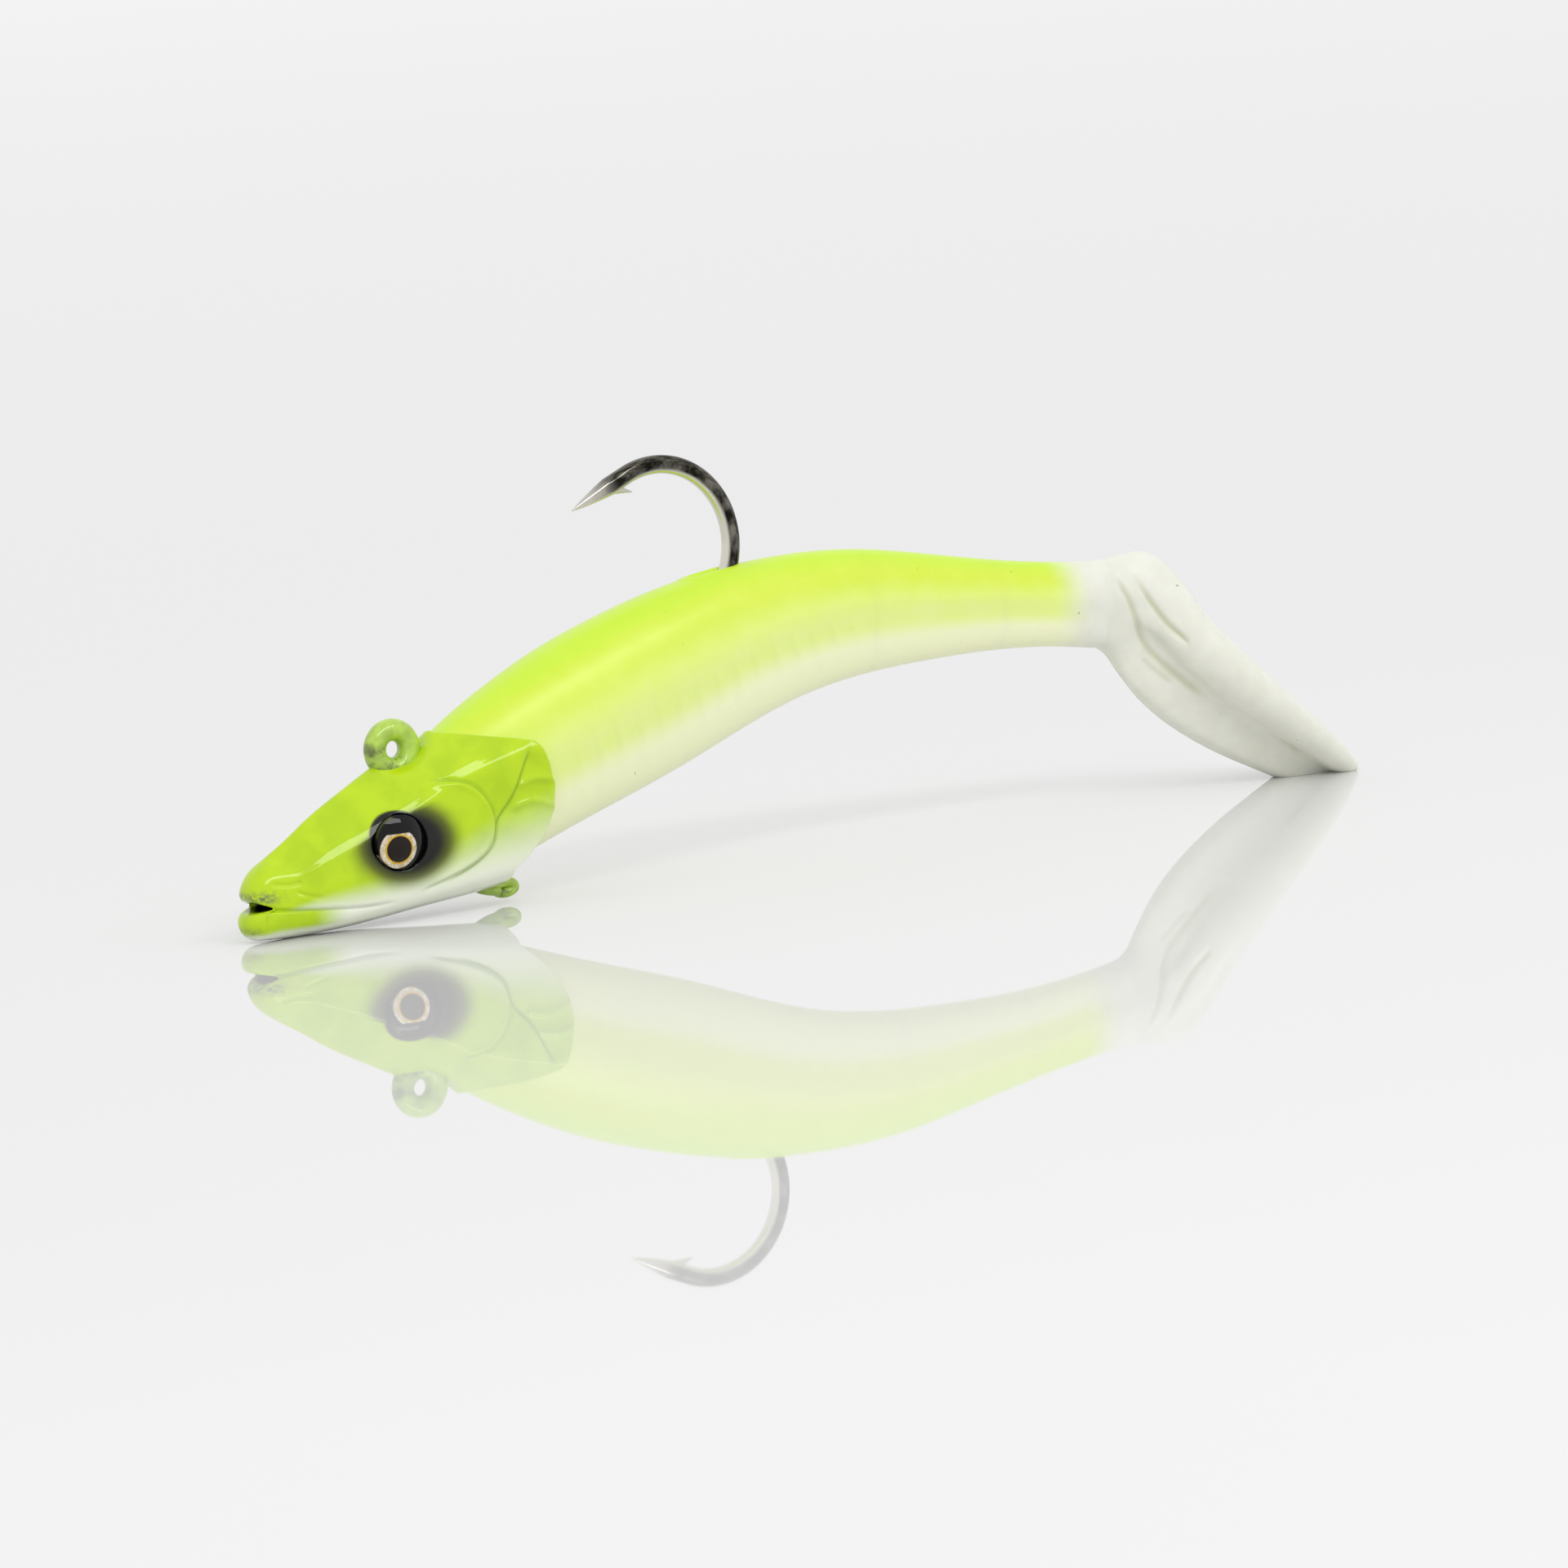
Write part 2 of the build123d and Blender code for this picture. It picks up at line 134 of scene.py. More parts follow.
# Soft body: distance, underside, top, half width.
BODY_ROWS = [
    (19.0, 1.60, 14.20, 4.10),
    (24.0, 2.85, 17.70, 4.55),
    (29.0, 4.35, 20.45, 5.00),
    (34.0, 6.10, 22.75, 5.35),
    (40.0, 8.05, 24.85, 5.35),
    (47.0, 10.30, 26.75, 5.05),
    (54.0, 12.85, 27.95, 4.55),
    (61.0, 15.10, 28.45, 4.05),
    (69.0, 16.45, 28.15, 3.60),
    (77.0, 16.85, 26.85, 3.20),
    (85.0, 16.80, 25.30, 2.85),
    (92.0, 16.20, 24.25, 2.55),
    (97.0, 15.40, 23.75, 2.40),
]
# Its half section from the back to the belly: share of the half width, share of the height.
BODY_SECTION = [
    (0.00, 1.005), (0.36, 0.990), (0.72, 0.880), (0.96, 0.700), (1.07, 0.560), (1.02, 0.450),
    (0.93, 0.320), (0.86, 0.180), (0.66, 0.040), (0.32, -0.020), (0.00, -0.025),
]
# The tail starts on two of the body's own rings, at these distances.
TAIL_FROM = (92.0, 95.5)
# Tail: front line, rear line, half width, share of the blade's section.
TAIL_ROWS = [
    (96.7, 15.45, 97.9, 23.80, 2.42, 0.00),
    (97.5, 15.00, 100.5, 24.00, 2.50, 0.12),
    (98.2, 14.20, 103.0, 23.95, 2.75, 0.40),
    (98.9, 13.00, 105.0, 22.60, 3.30, 0.75),
    (99.9, 11.60, 106.5, 20.50, 4.15, 1.00),
    (101.6, 9.60, 108.1, 17.70, 5.30, 1.00),
    (104.5, 7.05, 110.7, 14.70, 6.20, 1.00),
    (108.2, 4.55, 114.1, 11.30, 6.50, 1.00),
    (112.0, 2.45, 117.7, 7.95, 6.30, 1.00),
    (115.9, 0.55, 121.2, 4.80, 5.60, 1.00),
    (118.9, -0.80, 123.3, 2.75, 4.80, 1.00),
    (121.6, -1.50, 124.8, 1.05, 3.90, 1.00),
]
# The blade's half section: share of the half width, share of the depth forward of the rear face.
BLADE_SECTION = [
    (0.00, 0.00), (0.30, 0.01), (0.62, 0.05), (0.92, 0.15), (1.06, 0.30), (1.00, 0.48),
    (0.74, 0.60), (0.42, 0.55), (0.31, 0.80), (0.22, 1.00), (0.00, 1.02),
]
# Folds down the blade in the side view: depth, half breadth, then distance and height along the line.
TAIL_FOLDS = [
    (0.34, 0.28, [(99.7, 22.7), (101.1, 19.8), (103.0, 16.6), (107.5, 12.0), (113.4, 6.3), (118.9, 1.5)]),
    (0.28, 0.30, [(97.7, 22.7), (98.8, 20.4), (100.4, 16.7), (103.6, 12.5), (107.6, 9.0)]),
    (0.16, 0.22, [(100.9, 13.9), (102.3, 12.4), (104.0, 11.0)]),
]


# ---------------------------------------------------------------- curves and surfaces
def through(stations, values, at):
    """The natural cubic spline through values at rising stations, taken at any array of places."""
    x = np.asarray(stations, float)
    y = np.asarray(values, float)
    flat = y.reshape(len(x), -1)
    step = np.diff(x)
    slope = np.diff(flat, axis=0) / step[:, None]
    system = np.eye(len(x))
    inner = np.arange(1, len(x) - 1)
    system[inner, inner - 1] = step[:-1]
    system[inner, inner] = 2 * (step[:-1] + step[1:])
    system[inner, inner + 1] = step[1:]
    bend = np.zeros_like(flat)
    bend[1:-1] = 6 * np.diff(slope, axis=0)
    bend = np.linalg.solve(system, bend)
    place_at = np.asarray(at, float).ravel()
    i = np.clip(np.searchsorted(x, place_at, side="right") - 1, 0, len(x) - 2)
    h, left, right = step[i, None], (x[i + 1] - place_at)[:, None], (place_at - x[i])[:, None]
    curve = (bend[i] * left**3 + bend[i + 1] * right**3) / (6 * h)
    curve += (flat[i] / h - bend[i] * h / 6) * left + (flat[i + 1] / h - bend[i + 1] * h / 6) * right
    return curve.reshape(*np.shape(at), *y.shape[1:])


def ring_weights(controls, columns):
    """Uniform cubic B-spline weights of each control point of a closed ring, for evenly spread columns."""
    t = np.arange(columns) / columns * controls
    i = t.astype(int)
    f = t - i
    weights = np.stack([(1 - f) ** 3, 3 * f**3 - 6 * f**2 + 4, -3 * f**3 + 3 * f**2 + 3 * f + 1, f**3], -1) / 6
    basis = np.zeros((columns, controls))
    np.add.at(basis, (np.arange(columns)[:, None], (i[:, None] + np.array([-1, 0, 1, 2])) % controls), weights)
    return basis


def both_sides(half):
    """A ring of control points from its half, which runs from the top down to the bottom at y = 0."""
    return np.concatenate([half, half[..., -2:0:-1, :] * (1, -1, 1)], axis=-2)


def soft_step(low, high, value):
    """0 below low, 1 above high, and the cubic 3t^2 - 2t^3 between them."""
    t = np.clip((np.asarray(value, float) - low) / (high - low), 0, 1)
    return t * t * (3 - 2 * t)


def outward(grid):
    """Unit normals of a grid: the cross product of its steps along the piece and round it."""
    along = np.gradient(grid, axis=0)
    round_it = np.roll(grid, -1, axis=1) - np.roll(grid, 1, axis=1)
    normal = np.cross(along, round_it)
    return normal / np.maximum(np.linalg.norm(normal, axis=-1, keepdims=True), 1e-9)


def from_line(points, s, z, pieces=48):
    """Distance from each (s, z) to the smooth line through points, which side it is on, and how far along.

    The line is cut into short straight pieces. The nearest point of each piece is its start plus a share of
    its length held between 0 and 1, and the side is the sign of the cross product: positive on the right.
    """
    points = np.asarray(points, float)
    reach = np.concatenate([[0], np.cumsum(np.hypot(*np.diff(points, axis=0).T))])
    line = through(reach, points, np.linspace(0, reach[-1], pieces + 1))
    start, step = line[:-1], np.diff(line, axis=0)
    to = np.stack([s.ravel(), z.ravel()], -1)[:, None] - start
    share = np.clip((to * step).sum(-1) / (step**2).sum(-1), 0, 1)
    gap = to - share[..., None] * step
    square = (gap**2).sum(-1)
    best = square.argmin(1)
    rows = np.arange(len(best))
    turn = gap[rows, best, 0] * step[best, 1] - gap[rows, best, 1] * step[best, 0]
    return (np.sqrt(square[rows, best]).reshape(s.shape), np.sign(turn).reshape(s.shape),
            ((best + share[rows, best]) / pieces).reshape(s.shape))


def add_mesh(name, points, faces, masks=None, sharp_from=None):
    """A smooth-shaded mesh object in the frame from points in millimetres, with a float attribute per mask."""
    mesh = bpy.data.meshes.new(name)
    mesh.from_pydata(place(points).tolist(), [], [face for block in faces for face in block.tolist()])
    mesh.polygons.foreach_set("use_smooth", np.ones(len(mesh.polygons), bool))
    if sharp_from is not None:
        flat = np.zeros(len(mesh.polygons), bool)
        flat[sharp_from:] = True
        mesh.attributes.new("sharp_face", "BOOLEAN", "FACE").data.foreach_set("value", flat)
    for key, value in (masks or {}).items():
        mesh.attributes.new(key, "FLOAT", "POINT").data.foreach_set("value", value.astype(np.float32))
    piece = bpy.data.objects.new(name, mesh)
    bpy.context.scene.collection.objects.link(piece)
    return piece


def add_surface(name, grid, masks=None, joined=False, flat_ends=False, normals=None):
    """A closed surface from a grid whose rows run along the piece and whose columns run round it.

    Each end closes in a fan round its middle, or the last row joins the first where the piece is a ring.
    """
    rows, columns = grid.shape[:2]
    here = np.arange(rows * columns).reshape(rows, columns)
    below = np.roll(here, -1, axis=0) if joined else here[1:]
    here = here if joined else here[:-1]
    beside, below_beside = np.roll(here, -1, axis=1), np.roll(below, -1, axis=1)
    faces = [np.stack([here, below, below_beside, beside], -1).reshape(-1, 4)]
    points = grid.reshape(-1, 3)
    masks = {key: value.ravel() for key, value in (masks or {}).items()}
    if not joined:
        count = rows * columns
        first, last = np.arange(columns), np.arange(columns) + count - columns
        points = np.concatenate([points, grid[0].mean(0)[None], grid[-1].mean(0)[None]])
        faces += [
            np.stack([np.full(columns, count), first, np.roll(first, -1)], -1),
            np.stack([np.full(columns, count + 1), np.roll(last, -1), last], -1),
        ]
        masks = {key: np.append(value, [value[:columns].mean(), value[-columns:].mean()])
                 for key, value in masks.items()}
    piece = add_mesh(name, points, faces, masks, len(faces[0]) if flat_ends else None)
    if normals is not None:
        ends = [(-1.0, 0.0, 0.0), (1.0, 0.0, 0.0)]
        piece.data.normals_split_custom_set_from_vertices(normals.reshape(-1, 3).tolist() + ends)
    return piece


def add_tube(name, path, across, in_plane, columns=28, masks=None, joined=False, power=1.0):
    """A profile carried along a path in the plane y = 0.

    Each point is the path, plus the path's in-plane normal times in_plane times the cosine, plus y times
    across times the sine. A power under one squares the profile's corners.
    """
    path = np.asarray(path, float)
    if joined:
        ahead = np.roll(path, -1, axis=0) - np.roll(path, 1, axis=0)
    else:
        ahead = np.gradient(path, axis=0)
    ahead /= np.linalg.norm(ahead, axis=1, keepdims=True)
    angle = np.arange(columns) / columns * 2 * np.pi
    up = np.sign(np.cos(angle)) * np.abs(np.cos(angle)) ** power
    out = np.sign(np.sin(angle)) * np.abs(np.sin(angle)) ** power
    across, in_plane = (np.broadcast_to(value, len(path)) for value in (across, in_plane))
    grid = np.zeros((len(path), columns, 3))
    grid[..., 0] = path[:, :1] - ahead[:, 1:] * in_plane[:, None] * up
    grid[..., 1] = across[:, None] * out
    grid[..., 2] = path[:, 1:] + ahead[:, :1] * in_plane[:, None] * up
    return add_surface(name, grid, masks, joined)


# ---------------------------------------------------------------- finishes
def linear(text):
    """An sRGB hex colour as linear red, green, blue and alpha."""
    rgb = np.array([int(text[i:i + 2], 16) for i in (0, 2, 4)]) / 255
    return (*np.where(rgb <= 0.04045, rgb / 12.92, ((rgb + 0.055) / 1.055) ** 2.4).tolist(), 1.0)


def add_node(tree, kind, inputs=None, out=None, **settings):
    """Adds one shader node with its settings and links, and returns it or its output socket out."""
    made = tree.nodes.new("ShaderNode" + kind)
    for key, value in settings.items():
        setattr(made, key, value)
    for key, value in (inputs or {}).items():
        if isinstance(value, bpy.types.NodeSocket):
            tree.links.new(value, made.inputs[key])
        else:
            made.inputs[key].default_value = value
    return made if out is None else made.outputs[out]


# The two nodes used most: a mix of two colours, and a map of one range to another that eases at both ends.
COLOURS = {"out": 2, "data_type": "RGBA"}
SMOOTH = {"out": 0, "interpolation_type": "SMOOTHSTEP"}


def new_finish(name, **values):
    """An empty material with one Principled shader, whose sockets take the values."""
    made = bpy.data.materials.new(name)
    made.use_nodes = True
    tree = made.node_tree
    tree.nodes.clear()
    shader = add_node(tree, "BsdfPrincipled", {key.replace("_", " "): value for key, value in values.items()})
    tree.links.new(shader.outputs[0], add_node(tree, "OutputMaterial").inputs[0])
    return made, tree, shader


def head_enamel(look):
    """Airbrushed enamel on cast lead-free alloy under a dipped clear coat: even colour, wet gloss."""
    made, tree, shader = new_finish(
        "airbrushed_enamel", Roughness=0.5, Specular_IOR_Level=0.1, Coat_Weight=1.0, Coat_Roughness=0.02,
        Coat_IOR=1.38,
    )
    spot = add_node(tree, "TexCoord", out="Object")
    lumps = add_node(tree, "TexNoise", {"Vector": spot, "Scale": 1 / (3.0 * MM)}, out=0)
    top = add_node(tree, "Mix", {
        0: add_node(tree, "MapRange", {0: lumps, 1: 0.35, 2: 0.7}, **SMOOTH), 6: tuple(look.lime),
        7: linear("B2D40A"),
    }, **COLOURS)
    white = add_node(tree, "Mix", {
        0: add_node(tree, "Attribute", out="Fac", attribute_name="pale"), 6: top, 7: tuple(look.white),
    }, **COLOURS)
    # Painted shade: darker green along the cast lines and along the fin rays.
    line = add_node(tree, "Mix", {
        0: add_node(tree, "Attribute", out="Fac", attribute_name="painted_groove_shade"), 6: white, 7: linear("86AE12"),
    }, **COLOURS)
    # The dark airbrush colour also serves as painted shade inside the mouth.
    smoke_and_mouth_shade = add_node(tree, "Attribute", out="Fac", attribute_name="smoke_and_mouth_shade")
    olive = add_node(tree, "Mix", {
        0: add_node(tree, "MapRange", {0: smoke_and_mouth_shade, 1: 0.0, 2: 0.6, 3: 0.0, 4: 0.85}, **SMOOTH), 6: line,
        7: linear("4E5210"),
    }, **COLOURS)
    brown = add_node(tree, "Mix", {
        0: add_node(tree, "MapRange", {0: smoke_and_mouth_shade, 1: 0.34, 2: 0.9}, **SMOOTH), 6: olive, 7: tuple(look.smoke_and_mouth_shade),
    }, **COLOURS)
    # Specks of bare grey show where the lips have rubbed.
    specks = add_node(tree, "MapRange", {
        0: add_node(tree, "TexNoise", {
            "Vector": spot, "Scale": 1 / (0.45 * MM), "Detail": 4.0, "Roughness": 0.6,
        }, out=0),
        1: 0.36, 2: 0.62,
    }, **SMOOTH)
    worn = add_node(tree, "Math", {
        0: specks, 1: add_node(tree, "Attribute", out="Fac", attribute_name="worn"),
    }, out=0, operation="MULTIPLY")
    tree.links.new(
        add_node(tree, "Mix", {0: worn, 6: brown, 7: linear("6C7457")}, **COLOURS),
        shader.inputs["Base Color"],
    )
    tree.links.new(
        add_node(tree, "Bump", {
            "Height": add_node(tree, "TexNoise", {"Vector": spot, "Scale": 1 / (0.8 * MM)}, out=0),
            "Distance": 0.004 * MM, "Strength": 1.0,
        }, out=0),
        shader.inputs["Coat Normal"],
    )
    return made


def wire_enamel(look):
    """The same enamel brushed on over thick wire: it pools, and goes olive grey in patches where the worn mask is
    high, as rubbed paint on the line tie and as painted shade under the belly ring and on its post.
    """
    made, tree, shader = new_finish(
        "dipped_wire_enamel", Roughness=0.40, Coat_Weight=0.9, Coat_Roughness=0.06, Coat_IOR=1.5, IOR=1.46,
    )
    spot = add_node(tree, "TexCoord", out="Object")
    lumps = add_node(tree, "MapRange", {
        0: add_node(tree, "TexNoise", {"Vector": spot, "Scale": 1 / (1.4 * MM)}, out=0), 1: 0.35, 2: 0.68,
    }, **SMOOTH)
    green = add_node(tree, "Mix", {0: lumps, 6: tuple(look.wire_lime), 7: linear("A0BF40")}, **COLOURS)
    worn = add_node(tree, "Math", {
        0: add_node(tree, "MapRange", {
            0: add_node(tree, "TexNoise", {
                "Vector": spot, "Scale": 1 / (1.1 * MM), "Detail": 3.0, "Roughness": 0.6,
            }, out=0),
            1: 0.4, 2: 0.66, 3: 0.0, 4: 0.85,
        }, **SMOOTH),
        1: add_node(tree, "Attribute", out="Fac", attribute_name="worn"),
    }, out=0, operation="MULTIPLY")
    tree.links.new(
        add_node(tree, "Mix", {0: worn, 6: green, 7: linear("4A5626")}, **COLOURS),
        shader.inputs["Base Color"],
    )
    tree.links.new(
        add_node(tree, "Bump", {
            "Height": add_node(tree, "TexNoise", {"Vector": spot, "Scale": 1 / (0.7 * MM), "Detail": 3.0}, out=0),
            "Distance": 0.03 * MM, "Strength": 1.0,
        }, out=0),
        shader.inputs["Normal"],
    )
    return made


def hook_nickel(look):
    """Black nickel plate on forged, ground high-carbon steel: dark mirror with fine drawn lines, and a painted
    highlight along one side of the wire.
    """
    made, tree, shader = new_finish("black_nickel", Metallic=1.0, Roughness=0.12)
    spot = add_node(tree, "TexCoord", out="Object")
    streaks = add_node(tree, "TexNoise", {
        "Vector": add_node(tree, "Mapping", {"Vector": spot, "Scale": (1 / 12, 1, 1 / 12)}, out=0),
        "Scale": 1 / (0.15 * MM), "Detail": 3.0, "Roughness": 0.6,
    }, out=0)
    ground = add_node(tree, "Attribute", out="Fac", attribute_name="ground")
    # Painted highlight: the flat mask lightens the plating along one side of the wire.
    flat = add_node(tree, "Attribute", out="Fac", attribute_name="flat")
    plating_and_painted_highlight = add_node(tree, "Mix", {0: flat, 6: tuple(look.plating), 7: linear("D9D6C8")}, **COLOURS)
    fine = add_node(tree, "Mix", {
        0: add_node(tree, "MapRange", {0: streaks, 1: 0.35, 2: 0.75, 3: 0.0, 4: 0.3}, **SMOOTH), 6: plating_and_painted_highlight,
        7: linear("D8D4C4"),
    }, **COLOURS)
    tree.links.new(
        add_node(tree, "Mix", {0: ground, 6: fine, 7: linear("D9D5CC")}, **COLOURS),
        shader.inputs["Base Color"],
    )
    tree.links.new(
        add_node(tree, "Bump", {"Height": streaks, "Distance": 0.004 * MM, "Strength": 1.0}, out=0),
        shader.inputs["Normal"],
    )
    return made


def eye_print(look, name, coat):
    """Hot-stamped foil: silver and gold iris, gold ring, near-black pupil and black rim, with black over the top of
    the eye as a painted reflection of dark surroundings.

    The lens is clear epoxy that lies on the print and fills with it, so it carries the same print under a
    coat as smooth as glass.
    """
    made, tree, shader = new_finish(name, Coat_Weight=coat, Coat_Roughness=0.01, Coat_IOR=1.34, Specular_IOR_Level=0.0)
    spot = add_node(tree, "TexCoord", out="Object")
    s, _, z = centre_of("eye_foil_left")
    away = add_node(tree, "Mapping", {
        "Vector": spot,
        "Location": (-(s + look.shift / MM) - JAW_X / MM, 0, -(z + look.drop / MM)), "Scale": (1 / MM, 0, 1 / MM),
    }, out=0)
    radius = add_node(tree, "VectorMath", {0: away}, out="Value", operation="LENGTH")
    streaks = add_node(tree, "TexNoise", {
        "Vector": spot, "Scale": 1 / (0.45 * MM), "Detail": 3.0, "Roughness": 0.7,
    }, out=0)
    pupil, ring, iris = look.pupil_radius / MM, look.ring_width / MM, look.iris_radius / MM
    foil = add_node(tree, "Mix", {
        0: add_node(tree, "MapRange", {0: streaks, 1: 0.3, 2: 0.72}, **SMOOTH), 6: linear("C6AE72"),
        7: linear("F0EDE6"),
    }, **COLOURS)
    gold = add_node(tree, "Mix", {
        0: add_node(tree, "MapRange", {0: radius, 1: pupil + ring, 2: pupil + ring + 0.05}, **SMOOTH),
        6: linear("D9AE32"), 7: foil,
    }, **COLOURS)
    inked = add_node(tree, "Mix", {
        0: add_node(tree, "MapRange", {0: radius, 1: pupil - 0.04, 2: pupil + 0.02}, **SMOOTH), 6: linear("1A0F07"),
        7: gold,
    }, **COLOURS)
    # Painted reflection: black over the eye above the pupil, for dark surroundings mirrored in the dome.
    painted_dark_reflection = add_node(tree, "MapRange", {
        0: add_node(tree, "SeparateXYZ", {0: away}, out=2), 1: pupil + 0.1, 2: pupil + 0.25,
    }, **SMOOTH)
    black = add_node(tree, "Math", {
        0: add_node(tree, "MapRange", {0: radius, 1: iris - 0.05, 2: iris + 0.05}, **SMOOTH), 1: painted_dark_reflection,
    }, out=0, operation="MAXIMUM")
    tree.links.new(
        add_node(tree, "Mix", {0: black, 6: inked, 7: linear("050505")}, **COLOURS),
        shader.inputs["Base Color"],
    )
    lit = add_node(tree, "Math", {
        0: add_node(tree, "MapRange", {0: radius, 1: pupil - 0.04, 2: pupil + 0.02}, **SMOOTH),
        1: add_node(tree, "MapRange", {0: black, 1: 0.2, 2: 0.8, 3: 0.85, 4: 0.0}, **SMOOTH),
    }, out=0, operation="MULTIPLY")
    tree.links.new(lit, shader.inputs["Metallic"])
    tree.links.new(
        add_node(tree, "MapRange", {0: streaks, 1: 0.3, 2: 0.7, 3: 0.2, 4: 0.38}, **SMOOTH),
        shader.inputs["Roughness"],
    )
    return made


def soft_plastisol(look, name="soft_plastisol"):
    """Poured soft plastisol, lime in the back and milky below: satin, a little oily, with specks and mottling, and
    painted shade in the tail's folds.
    """
    made, tree, shader = new_finish(
        name, Roughness=0.36, IOR=1.47, Coat_Weight=0.25, Coat_Roughness=0.22,
        Subsurface_Weight=0.12, Subsurface_Scale=0.0012, Subsurface_Radius=(1.0, 1.0, 0.35),
    )
    spot = add_node(tree, "TexCoord", out="Object")
    back = add_node(tree, "Attribute", out="Fac", attribute_name="back")
    fade = add_node(tree, "Attribute", out="Fac", attribute_name="fade")
    ribs = add_node(tree, "Attribute", out="Fac", attribute_name="ribs")
    lumps = add_node(tree, "TexNoise", {"Vector": spot, "Scale": 1 / (2.4 * MM), "Detail": 3.0}, out=0)
    lime = add_node(tree, "Mix", {
        0: add_node(tree, "MapRange", {0: lumps, 1: 0.35, 2: 0.7}, **SMOOTH), 6: tuple(look.back),
        7: linear("DAEE48"),
    }, **COLOURS)
    side = add_node(tree, "Mix", {
        0: add_node(tree, "MapRange", {0: lumps, 1: 0.35, 2: 0.7}, **SMOOTH), 6: tuple(look.side),
        7: linear("EAF898"),
    }, **COLOURS)
    ribbed = add_node(tree, "Mix", {0: ribs, 6: side, 7: linear("D6E888")}, **COLOURS)
    milk = add_node(tree, "Mix", {
        0: add_node(tree, "MapRange", {0: back, 1: 0.02, 2: 0.26}, **SMOOTH), 6: tuple(look.belly), 7: ribbed,
    }, **COLOURS)
    body = add_node(tree, "Mix", {
        0: add_node(tree, "MapRange", {0: back, 1: 0.32, 2: 0.78}, **SMOOTH), 6: milk, 7: lime,
    }, **COLOURS)
    crown = add_node(tree, "Mix", {
        0: add_node(tree, "MapRange", {0: back, 1: 0.8, 2: 1.0, 3: 0.0, 4: 0.75}, **SMOOTH), 6: body,
        7: linear("C6EE2C"),
    }, **COLOURS)
    tail = add_node(tree, "Mix", {
        0: add_node(tree, "MapRange", {
            0: add_node(tree, "TexNoise", {"Vector": spot, "Scale": 1 / (2.0 * MM), "Detail": 3.0}, out=0), 1: 0.35,
            2: 0.7,
        }, **SMOOTH),
        6: tuple(look.tail), 7: linear("EBECE0"),
    }, **COLOURS)
    # Painted shade: the tail is darker along its folds.
    tail_with_fold_shade = add_node(tree, "Mix", {
        0: add_node(tree, "Attribute", out="Fac", attribute_name="painted_fold_shade"), 6: tail, 7: linear("CCCDA8"),
    }, **COLOURS)
    specks = add_node(tree, "MapRange", {
        0: add_node(tree, "TexNoise", {"Vector": spot, "Scale": 1 / (0.55 * MM), "Detail": 0.0}, out=0), 1: 0.105,
        2: 0.125, 3: 0.55, 4: 0.0,
    }, **SMOOTH)
    skin = add_node(tree, "Mix", {0: fade, 6: crown, 7: tail_with_fold_shade}, **COLOURS)
    tree.links.new(
        add_node(tree, "Mix", {0: specks, 6: skin, 7: linear("7F8B2E")}, **COLOURS),
        shader.inputs["Base Color"],
    )
    tree.links.new(
        add_node(tree, "Bump", {
            "Height": add_node(tree, "TexNoise", {"Vector": spot, "Scale": 1 / (0.7 * MM), "Detail": 3.0}, out=0),
            "Distance": 0.006 * MM, "Strength": 1.0,
        }, out=0),
        shader.inputs["Normal"],
    )
    return made


# ---------------------------------------------------------------- settings
def length(name, description, millimetres):
    """A length that a user may change, in metres."""
    return bpy.props.FloatProperty(name=name, description=description, default=millimetres * MM, min=0.0,
                                   unit="LENGTH", subtype="DISTANCE", precision=5)


def angle(name, description, degrees):
    """An angle that a user may change."""
    return bpy.props.FloatProperty(name=name, description=description, default=math.radians(degrees),
                                   unit="ROTATION", subtype="ANGLE")


def colour(name, description, text):
    """A colour that a user may change, from its sRGB hex value."""
    return bpy.props.FloatVectorProperty(name=name, description=description, default=linear(text), size=4,
                                         subtype="COLOR", min=0.0, max=1.0)


class HeadSettings(bpy.types.PropertyGroup):
    lime: colour("Lime", "Colour of the head's back and cheeks", "BFDF10")
    white: colour("White", "Colour of the throat and underside", "F4F8E8")
    # Also used as painted shade inside the mouth.
    smoke_and_mouth_shade: colour("Smoke", "Airbrushed colour round the eye", "070503")
    plate_step: length("Plate step", "How far a gill plate stands over the next one", 0.26)
    groove: length("Groove", "Depth of the cast lines", 0.22)
    ray_height: length("Fin ray", "Height of the two rays on the gill flap", 0.24)
    rim: length("Rim", "Rounding of the casting's rear edge", 0.30)


class WireSettings(bpy.types.PropertyGroup):
    wire_lime: colour("Lime", "Colour of the painted wire", "B6D94A")
    tie_radius: length("Tie radius", "Centre line of the line tie", 1.78)
    tie_wire: length("Tie wire", "Painted thickness of the line tie", 2.10)
    belly_radius: length("Belly ring radius", "Centre line of the belly ring", 1.05)
    belly_wire: length("Belly wire", "Painted thickness of the belly ring", 0.98)


class HookSettings(bpy.types.PropertyGroup):
    plating: colour("Plating", "Colour of the hook", "1E1C16")
    wire: length("Wire", "Thickness of the shank", 1.75)
    bend_radius: length("Bend", "Centre line of the bend", 7.8)
    shank_angle: angle("Shank", "Rise of the shank", 19.0)
    leg_angle: angle("Leg", "Fall of the leg", 23.5)
    leg: length("Leg length", "Straight part behind the point, with the point", 6.6)
    point: length("Point", "Length of the ground taper", 4.4)
    barb: length("Barb", "Length of the barb", 2.3)


